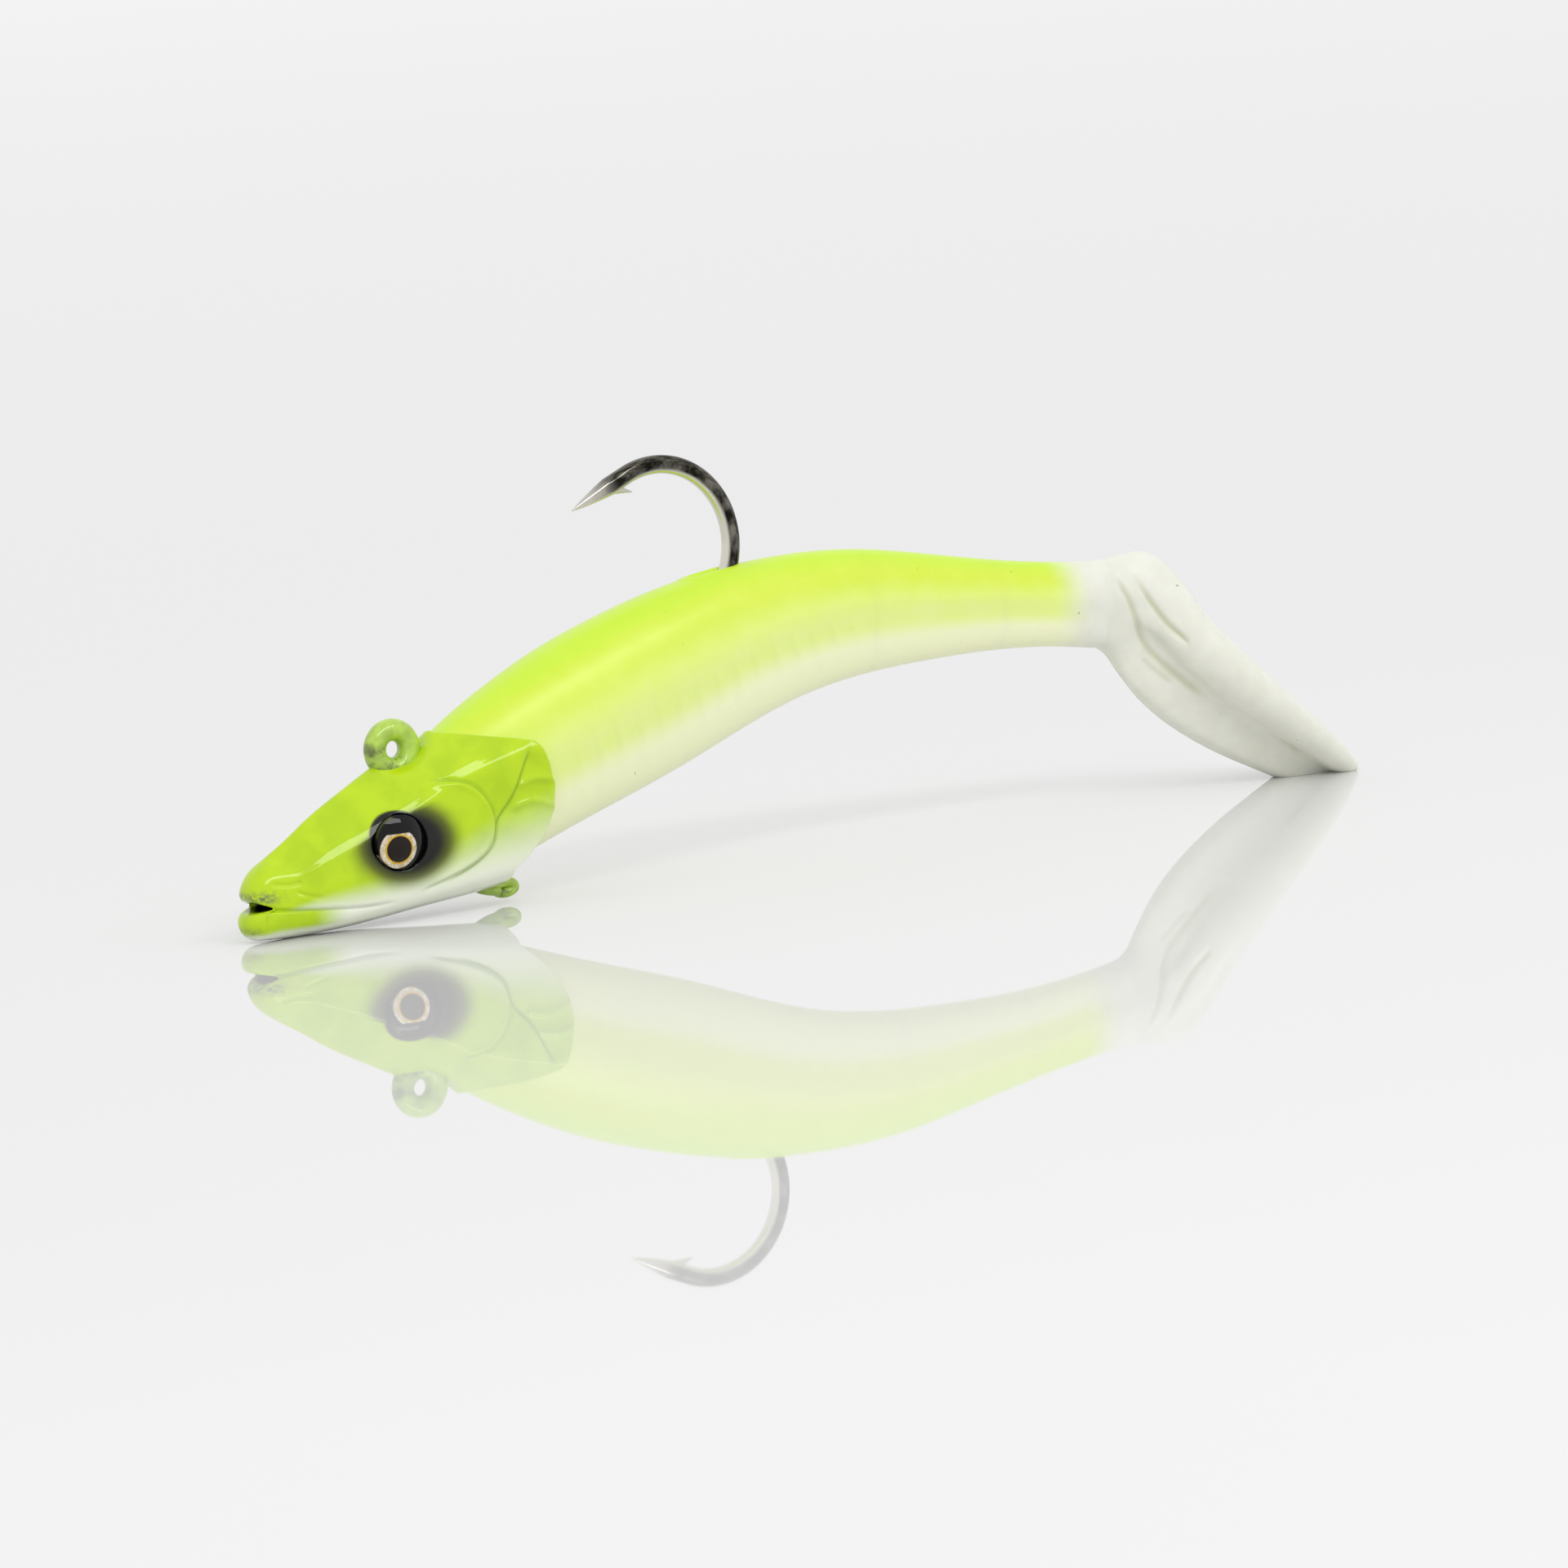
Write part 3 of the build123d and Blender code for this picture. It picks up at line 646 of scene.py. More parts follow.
class EyeSettings(bpy.types.PropertyGroup):
    pupil_radius: length("Pupil", "Radius of the pupil", 1.22)
    ring_width: length("Ring", "Width of the gold ring round the pupil", 0.13)
    iris_radius: length("Iris", "Radius inside the black rim", 1.78)
    shift: bpy.props.FloatProperty(name="Shift", description="How far the print sits behind the eye's middle",
                                   default=-0.55 * MM, unit="LENGTH", subtype="DISTANCE", precision=5)
    drop: bpy.props.FloatProperty(name="Drop", description="Height of the print over the eye's middle",
                                  default=-0.54 * MM, unit="LENGTH", subtype="DISTANCE", precision=5)


class BodySettings(bpy.types.PropertyGroup):
    back: colour("Back", "Colour of the back", "D6EC3C")
    side: colour("Side", "Colour of the flat side band", "E9F890")
    belly: colour("Belly", "Colour of the underside", "F4F8CC")
    tail: colour("Tail", "Colour of the tail", "E6E7DA")
    rib_pitch: length("Rib spacing", "Distance between the rib marks", 2.3)
    rib_depth: length("Rib depth", "Depth of the rib marks", 0.05)
    overlap: length("Overlap", "How far each stretch runs on under the next", 0.6)


class StageSettings(bpy.types.PropertyGroup):
    floor: colour("Floor", "Colour of the glossy floor", "E2E2E2")
    backdrop: colour("Backdrop", "Colour of the light all round", "F5F5F5")
    azimuth: angle("Azimuth", "Where the camera stands round the lure", -32.34)
    elevation: angle("Elevation", "How high the camera stands", 7.13)
    roll: angle("Roll", "Lean of the camera", -4.41)
    distance: length("Distance", "From the camera to the lure", 750.0)
    lens: bpy.props.FloatProperty(name="Lens", description="Focal length on a 36 mm sensor", default=182.5,
                                  unit="CAMERA")
    key: bpy.props.FloatProperty(name="Key", description="Power of the long softbox", default=1.0, unit="POWER")


# ---------------------------------------------------------------- head
def lip_controls():
    """Rows of half rings round the open mouth.

    The upper lip falls from the middle to the corner as a cosine and the lower one rises as a cosine, while
    both run back with the square of the way to the corner.
    """
    rows = np.array(LIP_ROWS)[:, None]
    k = np.arange(13)
    upper = k <= 8
    t = np.where(upper, k / 8.5, (12 - k) / 3.5)
    lip_s, lip_z = np.where(upper, rows[..., 0], rows[..., 2]), np.where(upper, rows[..., 1], rows[..., 3])
    s = lip_s + (rows[..., 4] - lip_s) * t**2
    y = rows[..., 5] * np.sin(t * np.pi / 2) ** 0.85
    z = rows[..., 6] + (lip_z - rows[..., 6]) * np.cos(t * np.pi / 2)
    return np.stack([s, y, z], -1)


def head_controls():
    """Rows of half rings across the head: a domed top, a rounded brow, a flat cheek, a jaw and the throat."""
    rows = np.array(HEAD_ROWS)
    s, low, top = rows[:, 0], rows[:, 1], rows[:, 2]
    brow, side, jaw = rows[:, 3:5], rows[:, 5:7], rows[:, 7:9]
    crown = np.stack([0 * s, top], -1)
    chin = np.stack([0 * s, low], -1)
    facet = np.array(BROW_FACET)[:, None]

    def unit(vector):
        return vector / np.linalg.norm(vector, axis=-1, keepdims=True)

    upper, lower = unit(crown - brow), unit(side - brow)
    lie = unit(lower - upper)
    above, below = brow - facet * lie, brow + facet * lie
    shoulder = crown + (above - crown) * 0.38 + (0, 0.26)
    throat = jaw + (chin - jaw) * 0.52 - (0, 0.15)
    half = np.stack([
        1.5 * crown - 0.5 * shoulder * (0, 1), shoulder, crown + (above - crown) * 0.74 + (0, 0.10),
        above, above + 0.60 * facet * lie, below - 0.60 * facet * lie, below,
        brow + (side - brow) * 0.55, side, side + (jaw - side) * 0.60,
        jaw, throat, 1.5 * chin - 0.5 * throat * (0, 1),
    ], axis=1)
    return np.concatenate([np.broadcast_to(s[:, None, None], (*half.shape[:2], 1)), half], -1)


def head_grid(look, rows=318, columns=300):
    """The casting's surface from inside the mouth to its rear edge, with its cast detail.

    Half rings are joined lengthwise by splines on their mean spacing and crosswise by B-splines. Each column
    ends where it first crosses the gill edge. The sockets, plates, grooves and rays are then moved in or out
    along the normal by smooth functions of the distance to their lines.
    """
    half = np.concatenate([lip_controls(), head_controls()])
    ring = both_sides(half)
    reach = np.concatenate([[0], np.cumsum(np.linalg.norm(np.diff(half, axis=0), axis=-1).mean(1))])
    basis = ring_weights(ring.shape[1], columns)
    probe = np.linspace(0, reach[-1], 1600)
    rough = np.einsum("ck,rkx->rcx", basis, through(reach, ring, probe))
    edge = np.array(GILL_EDGE)
    beyond = rough[..., 0] - np.interp(rough[..., 2], edge[:, 0], edge[:, 1])
    first = np.argmax(beyond > 0, axis=0)
    column = np.arange(columns)
    before, after = beyond[first - 1, column], beyond[first, column]
    stop = probe[first - 1] + (probe[1] - probe[0]) * before / (before - after)
    share = np.linspace(0, 1, rows)[:, None]
    grid = np.einsum("ck,rckx->rcx", basis, through(reach, ring, share * stop))

    s, y, z = grid[..., 0], grid[..., 1], grid[..., 2]
    normal = outward(grid)
    flank = soft_step(0.25, 0.6, np.abs(normal[..., 1]))
    lift = np.zeros(s.shape)
    step, groove, ray = look.plate_step / MM, look.groove / MM, look.ray_height / MM

    # The cheek plate stands over the gill cover, and the cover over the flap.
    gap, side, reach_on = from_line(CHEEK_LINE, s, z)
    behind = gap * -side
    ends = soft_step(0.0, 0.10, reach_on) * soft_step(1.0, 0.86, reach_on)
    lift -= ends * flank * (step * soft_step(-0.12, 0.22, behind) * np.exp(-np.maximum(behind, 0) / 1.5)
                            + groove * np.exp(-(gap / 0.16) ** 2))
    lift += ends * flank * 0.10 * np.exp(-((behind + 0.42) / 0.3) ** 2)
    # Painted shade: the base colour turns darker green along the cheek and cover lines and along the fin rays.
    painted_groove_shade = 0.45 * ends * np.exp(-(gap / 0.15) ** 2)
    gap, side, reach_on = from_line(COVER_LINE, s, z)
    behind = gap * -side
    ends = soft_step(1.0, 0.80, reach_on) * soft_step(0.0, 0.10, reach_on)
    lift -= ends * flank * (step * soft_step(-0.12, 0.22, behind) * np.exp(-np.maximum(behind, 0) / 3.0)
                            + 0.8 * groove * np.exp(-(gap / 0.18) ** 2))
    painted_groove_shade = np.maximum(painted_groove_shade, 0.8 * ends * np.exp(-(gap / 0.16) ** 2))
    for line in FIN_RAYS:
        gap, side, reach_on = from_line(line, s, z, 16)
        lift += ray * flank * np.exp(-(gap / 0.34) ** 2) * soft_step(0.0, 0.15, reach_on) * \
            (0.3 + 0.7 * soft_step(1.0, 0.75, reach_on))
        painted_groove_shade = np.maximum(painted_groove_shade, 0.28 * np.exp(-(gap / 0.20) ** 2) * soft_step(0.0, 0.15, reach_on))
    # The mouth's line is deep at the lips, and the lower jaw sits inside the upper one.
    gap, side, reach_on = from_line(MOUTH_LINE, s, z, 24)
    below = gap * side
    ends = soft_step(1.0, 0.75, reach_on) * (s > 2.2)
    lift -= flank * ends * (0.30 * np.exp(-(gap / 0.17) ** 2) + 0.20 * soft_step(-0.1, 0.2, below) *
                            np.exp(-np.maximum(below, 0) / 1.3))
    for line in LIP_CREASES:
        gap, _, reach_on = from_line(line, s, z, 10)
        lift -= 0.13 * flank * np.exp(-(gap / 0.20) ** 2)
    # A collar of paint lies round the line tie where it enters the casting.
    crown = normal[..., 2] > 0
    lift -= 1.30 * crown * np.exp(-(((s - TIE[0] - 1.0) / 2.3) ** 2 + (y / 1.9) ** 2) ** 1.5)
    lift += 0.30 * crown * np.exp(-(((s - TIE[0]) / 2.1) ** 2 + (y / 1.25) ** 2) ** 2)
    grid = grid + normal * lift[..., None]

    # Eye sockets are flat-floored, just under the foil.
    eye_s, eye_y, eye_z = centre_of("eye_foil_left")
    away = np.hypot(grid[..., 0] - eye_s, grid[..., 2] - eye_z)
    floor = abs(eye_y) - 0.35
    keep = np.maximum(soft_step(2.42, 2.62, away), np.abs(grid[..., 1]) < 2.0)
    deep = np.sign(grid[..., 1]) * np.minimum(np.abs(grid[..., 1]), floor)
    grid[..., 1] = grid[..., 1] * keep + deep * (1 - keep)

    # The rear edge rolls in on a quarter circle and runs on inside the soft body.
    normal = outward(grid)
    ahead = grid[-1] - grid[-2]
    ahead /= np.linalg.norm(ahead, axis=-1, keepdims=True)
    rim = look.rim / MM
    turns = np.radians([12, 30, 50, 70, 90])[:, None, None]
    roll = grid[-1] + rim * (np.sin(turns) * ahead - (1 - np.cos(turns)) * normal[-1])
    inner = roll[-1] - np.array([0.35, 0.9])[:, None, None] * normal[-1]
    grid = np.concatenate([grid, roll, inner])
    grid[..., 1] = np.clip(grid[..., 1], -HALF_WIDTH, HALF_WIDTH)
    grid[..., 2] = np.maximum(grid[..., 2], 0)
    # Rows inside the mouth, which take the dark colour as painted shade.
    inside = 1 - soft_step(reach[1], reach[2] + 0.4, share * stop)
    return grid, *(np.concatenate([value, np.repeat(value[-1:], 7, axis=0)]) for value in (painted_groove_shade, inside))


def head_masks(grid, painted_groove_shade, inside):
    """Paint masks of the head as smooth functions of place: white below, airbrushed dark round the eye with painted
    shade inside the mouth, painted shade along the cast lines, worn lips.
    """
    s, z = grid[..., 0], grid[..., 2]
    mouth = np.interp(s, *np.array(MOUTH_LINE).T)
    low = np.interp(s, [0, 6, 12, 18, 24, 31], [2.0, 2.4, 2.2, 2.6, 3.2, 3.6])
    high = np.interp(s, [0, 4, 8, 12, 18, 24, 31], [2.2, 3.1, 4.2, 5.0, 6.9, 9.4, 11.4])
    pale = 1 - soft_step(0, 1, (z - low) / (high - low)) ** 0.9
    jaw_lime = (1 - soft_step(6.5, 10.5, s)) * soft_step(0.55, 1.35, z) * soft_step(mouth + 0.25, mouth - 0.10, z)
    lip_lime = (1 - soft_step(2.0, 3.8, s)) * soft_step(0.5, 1.2, z)
    pale = pale * (1 - jaw_lime) * (1 - lip_lime)
    eye_s, _, eye_z = centre_of("eye_foil_left")
    cloud = np.hypot((s - eye_s - 0.6) / 6.6, (z - eye_z + 0.2) / 5.2)
    under_brow = soft_step(0.10, 1.0, np.interp(s, *np.array(BROW_LINE).T) - z)
    smoke_and_mouth_shade = (1 - soft_step(0.28, 1.0, cloud)) * under_brow
    socket = np.hypot(s - eye_s, z - eye_z)
    # Inside the mouth the dark colour is painted shade.
    smoke_and_mouth_shade = np.maximum.reduce([smoke_and_mouth_shade, 1 - soft_step(2.6, 3.0, socket), 0.9 * inside])
    upper = np.exp(-((s - 1.9) / 1.5) ** 2 - ((z - 4.15) / 0.50) ** 2)
    lower = np.exp(-((s - 0.9) / 0.9) ** 2 - ((z - 1.1) / 0.45) ** 2)
    worn = np.clip(1.1 * upper + 0.6 * lower, 0, 1)
    return {"pale": pale, "painted_groove_shade": painted_groove_shade, "smoke_and_mouth_shade": smoke_and_mouth_shade, "worn": worn}


class SWIMBAIT_OT_head(bpy.types.Operator):
    """Cast head with its mouth, brows, sockets and gill plates"""
    bl_idname = "swimbait.head"
    bl_label = "Head"

    def execute(self, context):
        look = context.scene.swimbait_head
        grid, painted_groove_shade, inside = head_grid(look)
        head = add_surface("head_shell", grid, head_masks(grid, painted_groove_shade, inside))
        head.data.materials.append(head_enamel(look))
        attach(head, "head")
        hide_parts("head_casting")
        return {"FINISHED"}


# ---------------------------------------------------------------- wire and hook
TIE = (17.7, 15.7)
BELLY_RING = (28.4, 1.42)
HOOK_BEND = (48.1, 30.69)


class SWIMBAIT_OT_wire(bpy.types.Operator):
    """Line tie on top and belly ring underneath, one painted wire form"""
    bl_idname = "swimbait.wire"
    bl_label = "Line tie and belly ring"

    def execute(self, context):
        look = context.scene.swimbait_wire
        paint = wire_enamel(look)
        turn = np.linspace(0, 2 * np.pi, 97)[:-1]
        circle = np.stack([np.cos(turn), np.sin(turn)], -1)
        low = soft_step(-0.2, -1.0, circle[:, 1])
        tie_radius, tie_wire = look.tie_radius / MM, look.tie_wire / MM / 2
        tie = add_tube("line_tie", TIE + tie_radius * circle, tie_wire * (1 + 0.10 * low), tie_wire, 32,
                       {"worn": np.repeat(soft_step(0.3, -0.8, circle[:, 1] + 0.7 * circle[:, 0])[:, None], 32, 1)},
                       joined=True)
        # The belly ring's lower half and its post are darkened as painted shade.
        ring_radius, ring_wire = look.belly_radius / MM, look.belly_wire / MM / 2
        ring = add_tube("belly_ring", BELLY_RING + ring_radius * circle * (1, 0.46), ring_wire, ring_wire, 32,
                        {"worn": np.repeat(soft_step(0.4, -0.6, circle[:, 1])[:, None], 32, 1)}, joined=True)
        stub = [(22.5, 3.4), (24.0, 2.6), (25.4, 1.85), (26.6, 1.40), (27.6, 1.22)]
        path = through(range(len(stub)), stub, np.linspace(0, len(stub) - 1, 40))
        post = add_tube("belly_post", path, 0.82, ring_wire, 28, {"worn": np.full((40, 28), 0.25)})
        for piece in (tie, ring, post):
            piece.data.materials.append(paint)
            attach(piece, "head")
            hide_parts("tow_wire")
        return {"FINISHED"}


def hook_path(look):
    """The hook's centre line: a straight shank, an arc and a straight leg, joined end to end."""
    radius = look.bend_radius / MM
    turn = np.linspace(look.shank_angle - math.pi / 2, look.leg_angle + math.pi / 2, 110)
    arc = HOOK_BEND + radius * np.stack([np.cos(turn), np.sin(turn)], -1)
    rise = np.array([math.cos(look.shank_angle), math.sin(look.shank_angle)])
    fall = -np.array([math.cos(look.leg_angle), math.sin(look.leg_angle)])
    shank = arc[0] - np.linspace(27.0, 0.4, 50)[:, None] * rise
    leg = arc[-1] + np.linspace(0.2, look.leg / MM, 60)[:, None] * fall
    return np.concatenate([shank, arc, leg]), arc[-1], fall


class SWIMBAIT_OT_hook(bpy.types.Operator):
    """Forged jig hook with a needle point and a cut barb"""
    bl_idname = "swimbait.hook"
    bl_label = "Hook"

    def execute(self, context):
        look = context.scene.swimbait_hook
        path, leg_start, fall = hook_path(look)
        half = look.wire / MM / 2
        run = np.concatenate([[0], np.cumsum(np.hypot(*np.diff(path, axis=0).T))])
        left = run[-1] - run
        forged = soft_step(20.0, 24.0, run) * soft_step(look.point / MM, look.point / MM + 3.5, left)
        taper = np.clip(left / (look.point / MM), 0.035, 1) ** 0.72
        # Plating is black on the flats and the back of the bend; the bend's inner side gets a lighter base colour all
        # along the wire, a painted highlight.
        around = np.arange(36) / 36 * 2 * np.pi
        painted_highlight = soft_step(0.35, 0.70, np.cos(around))
        hook = add_tube("hook", path, half * (1 - 0.17 * forged) * taper, half * taper, 36,
                        {"ground": np.repeat(0.85 * soft_step(look.point / MM + 1, 1.5, left)[:, None], 36, 1),
                         "flat": np.broadcast_to(painted_highlight, (len(path), 36))}, power=0.86)
        # The barb is a sliver raised from the inner side of the leg, thinning to its free tip.
        inward = np.array([fall[1] * -1, fall[0]])
        inward = inward if inward[1] < 0 else -inward
        t = np.linspace(0, 1, 24)[:, None]
        root = leg_start + (look.leg - look.point * 0.95) / MM * fall
        barb_path = root - t * (look.barb / MM) * fall + (half * 0.35 + t**1.3 * (half * 0.75 + 0.75)) * inward
        size = (1 - t[:, 0]) ** 0.8
        # The barb takes half the painted highlight all over.
        barb = add_tube("hook_barb", barb_path, 0.44 * size + 0.03, 0.50 * size + 0.03, 16,
                        {"ground": np.full((24, 16), 0.7), "flat": np.full((24, 16), 0.5)})
        for piece in (hook, barb):
            piece.data.materials.append(bpy.data.materials.get("black_nickel") or hook_nickel(look))
            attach(piece, "head")
            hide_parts("jig_hook")
        return {"FINISHED"}


class SWIMBAIT_OT_eyes(bpy.types.Operator):
    """Printed foil discs under clear lenses"""
    bl_idname = "swimbait.eyes"
    bl_label = "Eyes"

    def execute(self, context):
        look = context.scene.swimbait_eyes
        foil, lens = eye_print(look, "stamped_foil", 0.0), eye_print(look, "epoxy_over_foil", 1.0)
        for node, finish in (("eye_foil", foil), ("eye_lens", lens)):
            for side in ("left", "right"):
                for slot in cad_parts[f"{node}_{side}"].material_slots:
                    slot.material = finish
        return {"FINISHED"}


# ---------------------------------------------------------------- soft body
def body_half(s):
    """Half rings of the soft body at distances s: one section's shares times its width and height."""
    rows = np.array(BODY_ROWS)
    low, top, wide = np.moveaxis(through(rows[:, 0], rows[:, 1:], s), -1, 0)
    section = np.array(BODY_SECTION)
    y = wide[:, None] * section[:, 0]
    z = low[:, None] + (top - low)[:, None] * section[:, 1]
    return np.stack([np.broadcast_to(s[:, None], y.shape), y, z], -1)


def body_masks(grid, share):
    """Colour masks of the soft plastic: the back's lime by height, rib marks, and the fade to the tail."""
    s = grid[..., 0]
    crease = np.interp(s, [19, 34, 45, 55, 66, 80, 95], [0.66, 0.60, 0.60, 0.62, 0.60, 0.60, 0.60])
    back = np.clip(0.5 + (share - crease) / 0.75, 0, 1)
    slow = through([19, 45, 60, 75, 95], [0.30, 0.34, 0.40, 0.44, 0.5], s)
    band = np.exp(-((share - slow) / 0.16) ** 2) * soft_step(30, 36, s) * soft_step(74, 60, s)
    return {"back": back, "fade": soft_step(90.0, 95.5, s), "band": band}


def body_detail(grid, look):
    """Moves the body's skin: rib marks on the flat side band, the crease above it and the hook's slot."""
    s, y, z = grid[..., 0], grid[..., 1], grid[..., 2]
    low, top = z.min(1, keepdims=True), z.max(1, keepdims=True)
    share = (z - low) / (top - low)
    masks = body_masks(grid, share)
    normal = outward(grid)
    slant = s + 5.0 * (share - 0.35)
    wave = np.cos(2 * np.pi * slant / (look.rib_pitch / MM))
    lift = look.rib_depth / MM * wave * masks.pop("band")
    masks["ribs"] = np.clip(wave, 0, 1) ** 2 * 0.30 * np.exp(-((share - 0.36) / 0.15) ** 2) \
        * soft_step(30, 36, s) * soft_step(76, 62, s)
    flank = soft_step(0.4, 0.8, np.abs(normal[..., 1]))
    lift -= 0.12 * flank * np.exp(-((share - 0.44) / 0.13) ** 2) * soft_step(40, 60, s) * soft_step(95, 86, s)
    slot_s = np.where(s < 51.5, 51.5, np.where(s > 55.4, 55.4, s))
    gap = np.hypot(s - slot_s, y)
    on_top = share > 0.75
    lift += on_top * (0.16 * np.exp(-((gap - 0.85) / 0.55) ** 2) - 0.7 * np.exp(-(gap / 0.42) ** 2))
    masks["painted_fold_shade"] = np.zeros(s.shape)
    return grid + normal * lift[..., None], masks


def stretch(name, start, stop, look, columns=200, spacing=0.24):
    """One stretch of the body's skin. Its rear end runs on a little way, sinking under the next stretch.

    Rows fall on both seams, and the shading follows the unsunk surface, so the stretches meet without a line.
    """
    on = look.overlap / MM
    s = np.concatenate([
        np.linspace(start, stop, int((stop - start) / spacing) + 1), stop + on * np.linspace(0, 1, 7)[1:],
    ])
    s = np.concatenate([[start - spacing], s, [s[-1] + spacing]])
    grid = np.einsum("ck,rkx->rcx", ring_weights(20, columns), both_sides(body_half(s)))
    grid, masks = body_detail(grid, look)
    normal = outward(grid)
    sink = 0.09 * soft_step(stop, stop + on, s)
    grid = grid - normal * sink[:, None, None]
    return add_surface(name, grid[1:-1], {key: value[1:-1] for key, value in masks.items()}, flat_ends=True,
                       normals=normal[1:-1])


SEAMS = (19.0, 69.3, 84.4)
ROWS_PER_STATION = 20    # of the tail's grid
LAP_ROWS = 16            # how many rows of the wrist run on under the tail


# ---------------------------------------------------------------- body and tail
def tail_half(at):
    """Half rings of wrist and tail, on a fan of planes between a front line and a rear line in the side view.

    Each ring mixes the body's oval with the blade's section: full wings by the rear face, a groove each side,
    and a keel that reaches the front line.
    """
    body = np.array(BODY_ROWS)
    start = np.array(TAIL_FROM)
    low, top, breadth = through(body[:, 0], body[:, 1:], start).T
    rows = np.concatenate([np.stack([start, low, start, top, breadth, 0 * low], -1), TAIL_ROWS])
    values = through(np.arange(len(rows)), rows, at)
    front, rear = values[:, None, 0:2], values[:, None, 2:4]
    wide, share = values[:, 4, None], np.clip(values[:, 5, None], 0, 1)
    oval, blade = np.array(BODY_SECTION), np.array(BLADE_SECTION)
    y = wide * (oval[:, 0] * (1 - share) + blade[:, 0] * share)
    n = (1 - oval[:, 1]) * (1 - share) + blade[:, 1] * share
    side = rear + (front - rear) * n[..., None]
    return np.stack([side[..., 0], y, side[..., 1]], -1)


def tail_folds(grid):
    """Sinks the folds into the blade: each is a bell curve of the distance to its line, on the inner part only, and
    darkens the base colour along them as painted shade.
    """
    s, y, z = grid[..., 0], grid[..., 1], grid[..., 2]
    edge = 3.0 + 1.4 * soft_step(108, 103, s)
    inner = soft_step(0.7, 0.0, np.abs(y) - edge)
    lift, fold_shade = np.zeros(s.shape), np.zeros(s.shape)
    for depth, breadth, line in TAIL_FOLDS:
        gap, _, reach_on = from_line(line, s, z, 32)
        bell = np.exp(-(gap / breadth) ** 2) * soft_step(0.0, 0.14, reach_on) * soft_step(1.0, 0.86, reach_on) * inner
        lift -= depth * bell
        fold_shade = np.maximum(fold_shade, 2.0 * depth * bell)
    return grid + outward(grid) * lift[..., None], np.clip(fold_shade, 0, 0.7)


def rear_and_tail(look, columns=200):
    """One grid from the rear bend to the foot, its masks and normals, and the row where the wrist ends.

    The body's rings run on as the tail's fan, the folds are sunk, and the end closes on a quarter round.
    """
    s = np.linspace(SEAMS[2], TAIL_FROM[1], 48)[:-1]
    s = np.concatenate([[2 * s[0] - s[1]], s])
    at = np.linspace(1, len(TAIL_ROWS) + 1, len(TAIL_ROWS) * ROWS_PER_STATION + 1)
    half = np.concatenate([body_half(s), tail_half(at)])
    grid = np.einsum("ck,rkx->rcx", ring_weights(20, columns), both_sides(half))
    grid, masks = body_detail(grid, look)
    grid, masks["painted_fold_shade"] = tail_folds(grid)
    end = grid[-1]
    middle = end.mean(0)
    turns = np.radians([20, 40, 60, 78])[:, None, None]
    away = grid[-1] - grid[-2]
    away /= np.linalg.norm(away, axis=-1, keepdims=True)
    cap = middle + (end - middle) * np.cos(turns) + 0.75 * np.sin(turns) * away.mean(0)
    grid = np.concatenate([grid, cap])
    masks = {key: np.concatenate([value, np.repeat(value[-1:], 4, axis=0)])[1:] for key, value in masks.items()}
    grid[..., 0] = np.minimum(grid[..., 0], (CAD_BOX[1][0] - JAW_X) / MM)
    grid[..., 1] = np.clip(grid[..., 1], -HALF_WIDTH, HALF_WIDTH)
    grid[..., 2] = np.maximum(grid[..., 2], 0.0)
    return grid[1:], masks, outward(grid)[1:], len(s) - 1 + ROWS_PER_STATION


class SWIMBAIT_OT_body(bpy.types.Operator):
    """Soft body in three stretches that run on under each other"""
    bl_idname = "swimbait.body"
    bl_label = "Body"

    def execute(self, context):
        look = context.scene.swimbait_body
        rubber = soft_plastisol(look)
        rear, masks, normals, cut = rear_and_tail(look)
        stop = cut + 1 + LAP_ROWS
        sunk = 0.5 * soft_step(cut, stop - 1, np.arange(stop))[:, None, None]
        for piece, bodies, joint, reach, nodes in (
            (stretch("body_skin_front", SEAMS[0], SEAMS[1], look), ("head", "middle"), "front_bend", 6.0,
             ["body_front"]),
            (stretch("body_skin_middle", SEAMS[1], SEAMS[2], look), ("middle", "rear"), "rear_bend", 6.0,
             ["body_middle"]),
            (add_surface("body_skin_rear", rear[:stop] - normals[:stop] * sunk,
                         {key: value[:stop] for key, value in masks.items()}, flat_ends=True, normals=normals[:stop]),
             ("rear", "wrist"), "tail_swing", 3.6, ["body_rear", "tail_wrist"]),
        ):
            piece.data.materials.append(rubber)
            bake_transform(piece)
            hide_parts(*nodes)
        return {"FINISHED"}


class SWIMBAIT_OT_tail(bpy.types.Operator):
    """Paddle tail: a sloping oval blade with a keel and folds, lapped over the wrist"""
    bl_idname = "swimbait.tail"
    bl_label = "Tail"

    def execute(self, context):
        grid, masks, normals, cut = rear_and_tail(context.scene.swimbait_body)
        tail = add_surface("tail_skin", grid[cut:], {key: value[cut:] for key, value in masks.items()},
                           flat_ends=True, normals=normals[cut:])
        tail.data.materials.append(bpy.data.materials["soft_plastisol"])
        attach(tail, "tail")
        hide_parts("tail_paddle")
        return {"FINISHED"}


# ---------------------------------------------------------------- stage
def add_softbox(name, at, towards, size, power):
    """A rectangular light in millimetres, facing a point."""
    light = bpy.data.lights.new(name, "AREA")
    light.shape = "RECTANGLE"
    light.size, light.size_y = size[0] * MM, size[1] * MM
    light.energy = power
    lamp = bpy.data.objects.new(name, light)
    lamp.location = Vector(at) * MM
    lamp.rotation_euler = (Vector(towards) * MM - lamp.location).to_track_quat("-Z", "Y").to_euler()
    bpy.context.scene.collection.objects.link(lamp)
    return lamp


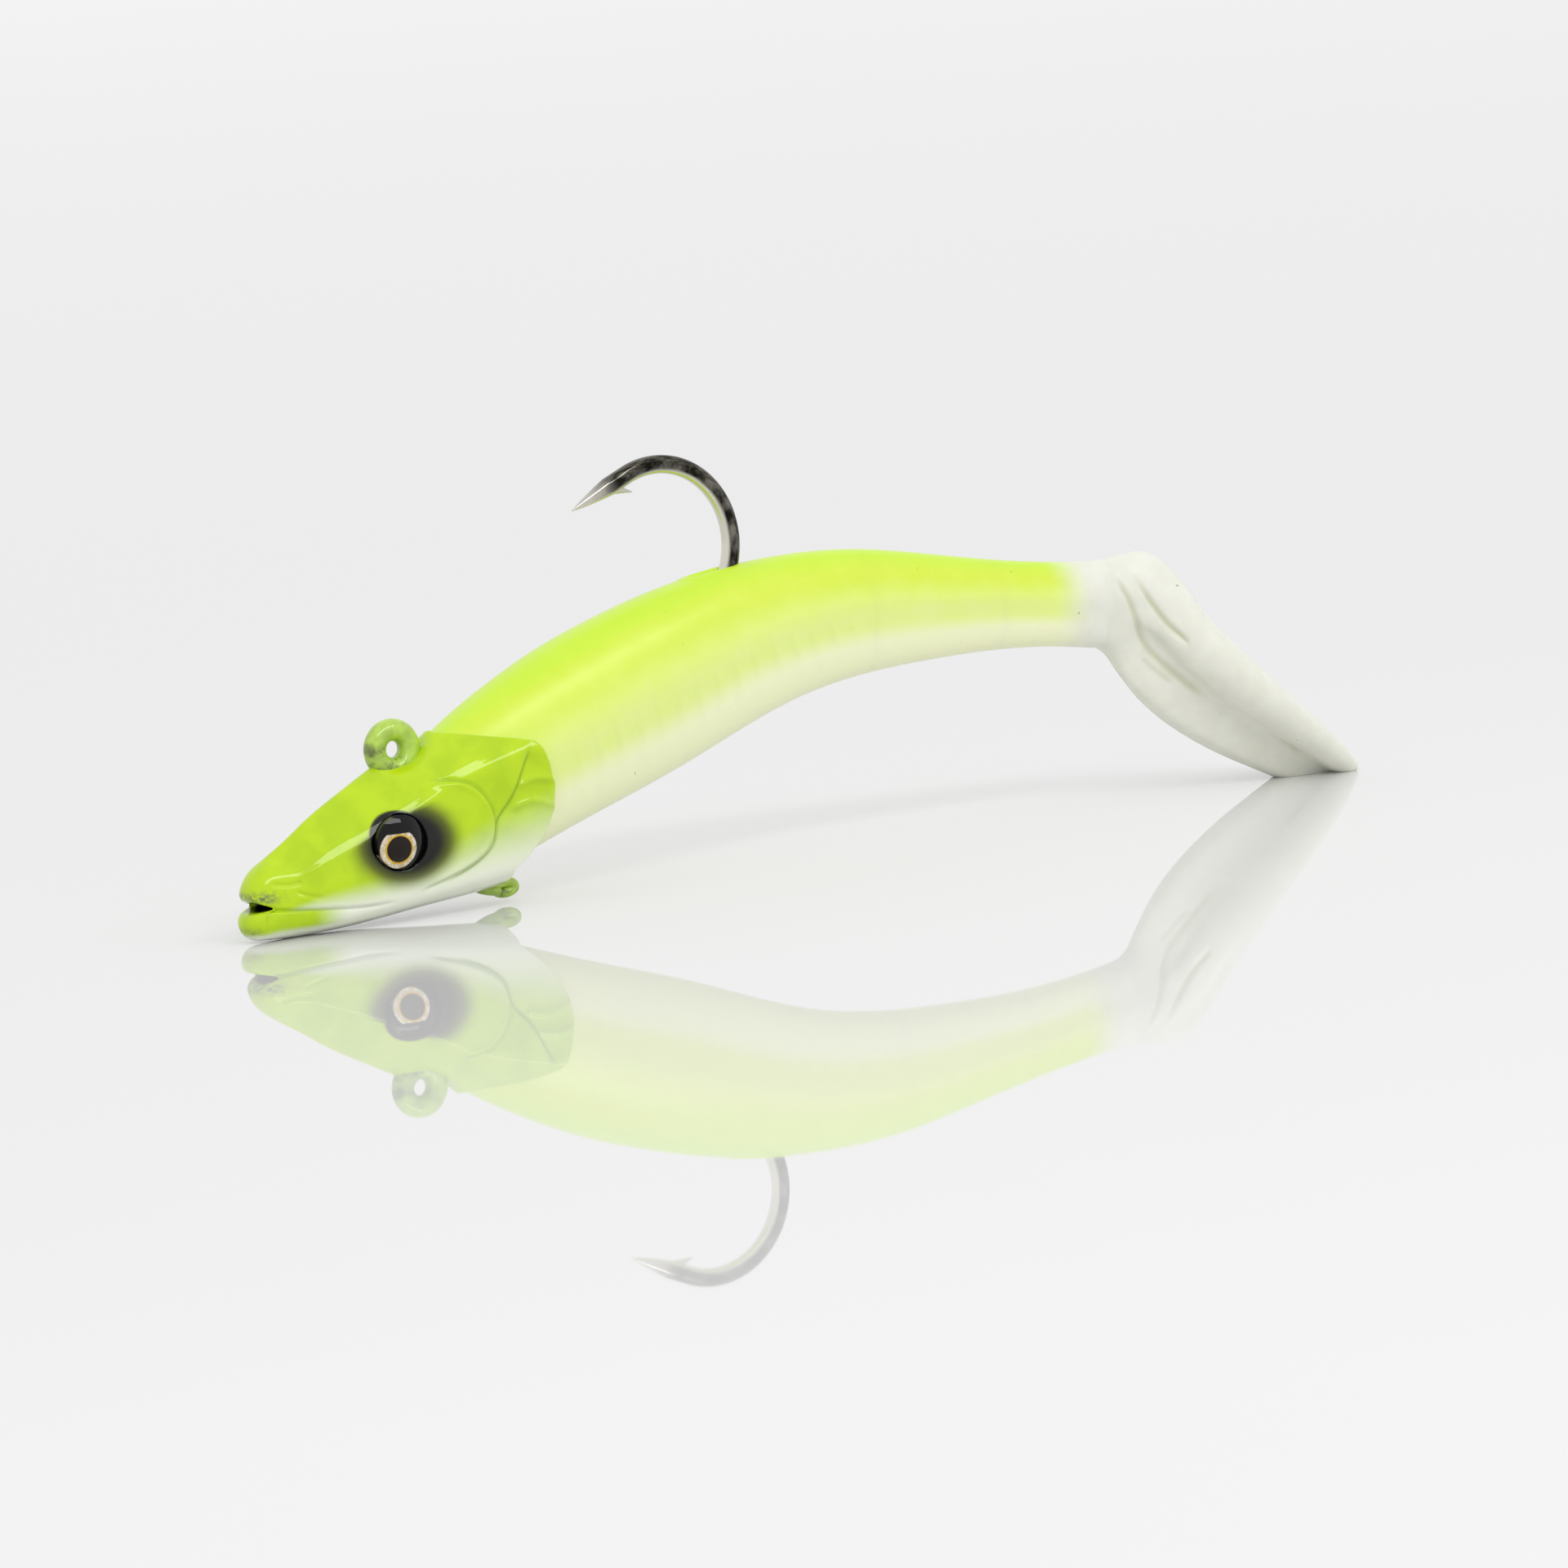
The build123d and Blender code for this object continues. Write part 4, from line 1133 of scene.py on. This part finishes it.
class SWIMBAIT_OT_stage(bpy.types.Operator):
    """Glossy pale floor, soft light all round, softbox and the camera"""
    bl_idname = "swimbait.stage"
    bl_label = "Stage"

    def execute(self, context):
        look = context.scene.swimbait_stage
        # Floor: polished white acrylic sheet, a pale body under a mirror-smooth surface.
        made, tree, shader = new_finish("white_acrylic", Base_Color=tuple(look.floor), Roughness=0.015, IOR=1.45)
        reach = 9.0
        mesh = bpy.data.meshes.new("floor")
        mesh.from_pydata([(-reach, -reach, 0), (reach, -reach, 0), (reach, reach, 0), (-reach, reach, 0)], [],
                         [(0, 1, 2, 3)])
        floor = bpy.data.objects.new("floor", mesh)
        mesh.materials.append(made)
        context.scene.collection.objects.link(floor)

        world = context.scene.world or bpy.data.worlds.new("studio")
        context.scene.world = world
        world.use_nodes = True
        world.node_tree.nodes.clear()
        light = add_node(world.node_tree, "Background", {"Color": tuple(look.backdrop), "Strength": 1.0})
        world.node_tree.links.new(light.outputs[0], add_node(world.node_tree, "OutputWorld").inputs[0])
        add_softbox("long_softbox", (-15, -506, 487), (-25, 0, 10), (660, 108), look.key * 1.3)

        e, a = look.elevation, look.azimuth
        back = Vector((math.sin(a) * math.cos(e), -math.cos(a) * math.cos(e), math.sin(e)))
        right = Vector((math.cos(a), math.sin(a), 0))
        up = back.cross(right)
        turned = right * math.cos(look.roll) + up * math.sin(look.roll)
        raised = up * math.cos(look.roll) - right * math.sin(look.roll)
        aim = Vector(place((59.745, 0, 6.9)))
        data = bpy.data.cameras.new("camera")
        data.lens, data.sensor_width = look.lens, 36.0
        data.clip_start, data.clip_end = 0.01, 50.0
        camera = bpy.data.objects.new("camera", data)
        camera.matrix_world = Matrix.Translation(aim + back * look.distance) @ \
            Matrix((turned, raised, back)).transposed().to_4x4()
        context.scene.collection.objects.link(camera)
        context.scene.camera = camera
        context.scene.view_settings.view_transform = "Standard"
        return {"FINISHED"}


class SWIMBAIT_PT_panel(bpy.types.Panel):
    bl_idname = "SWIMBAIT_PT_panel"
    bl_label = "Swimbait"
    bl_space_type = "VIEW_3D"
    bl_region_type = "UI"
    bl_category = "Swimbait"

    def draw(self, context):
        for operator, group in STEPS:
            box = self.layout.box()
            settings = getattr(context.scene, group)
            for name in settings.bl_rna.properties.keys():
                if name not in ("rna_type", "name"):
                    box.prop(settings, name)
            box.operator(operator.bl_idname)


STEPS = (
    (SWIMBAIT_OT_head, "swimbait_head"),
    (SWIMBAIT_OT_wire, "swimbait_wire"),
    (SWIMBAIT_OT_hook, "swimbait_hook"),
    (SWIMBAIT_OT_eyes, "swimbait_eyes"),
    (SWIMBAIT_OT_body, "swimbait_body"),
    (SWIMBAIT_OT_tail, "swimbait_body"),
    (SWIMBAIT_OT_stage, "swimbait_stage"),
)
GROUPS = {
    "swimbait_head": HeadSettings, "swimbait_wire": WireSettings, "swimbait_hook": HookSettings,
    "swimbait_eyes": EyeSettings, "swimbait_body": BodySettings, "swimbait_stage": StageSettings,
}


def register():
    for name, group in GROUPS.items():
        bpy.utils.register_class(group)
        setattr(bpy.types.Scene, name, bpy.props.PointerProperty(type=group))
    for operator, _ in STEPS:
        bpy.utils.register_class(operator)
    bpy.utils.register_class(SWIMBAIT_PT_panel)


def unregister():
    bpy.utils.unregister_class(SWIMBAIT_PT_panel)
    for operator, _ in STEPS:
        bpy.utils.unregister_class(operator)
    for name, group in GROUPS.items():
        delattr(bpy.types.Scene, name)
        bpy.utils.unregister_class(group)


def main():
    register()
    for operator, _ in STEPS:
        group, name = operator.bl_idname.split(".")
        getattr(getattr(bpy.ops, group), name)()


if __name__ == "__main__":
    main()
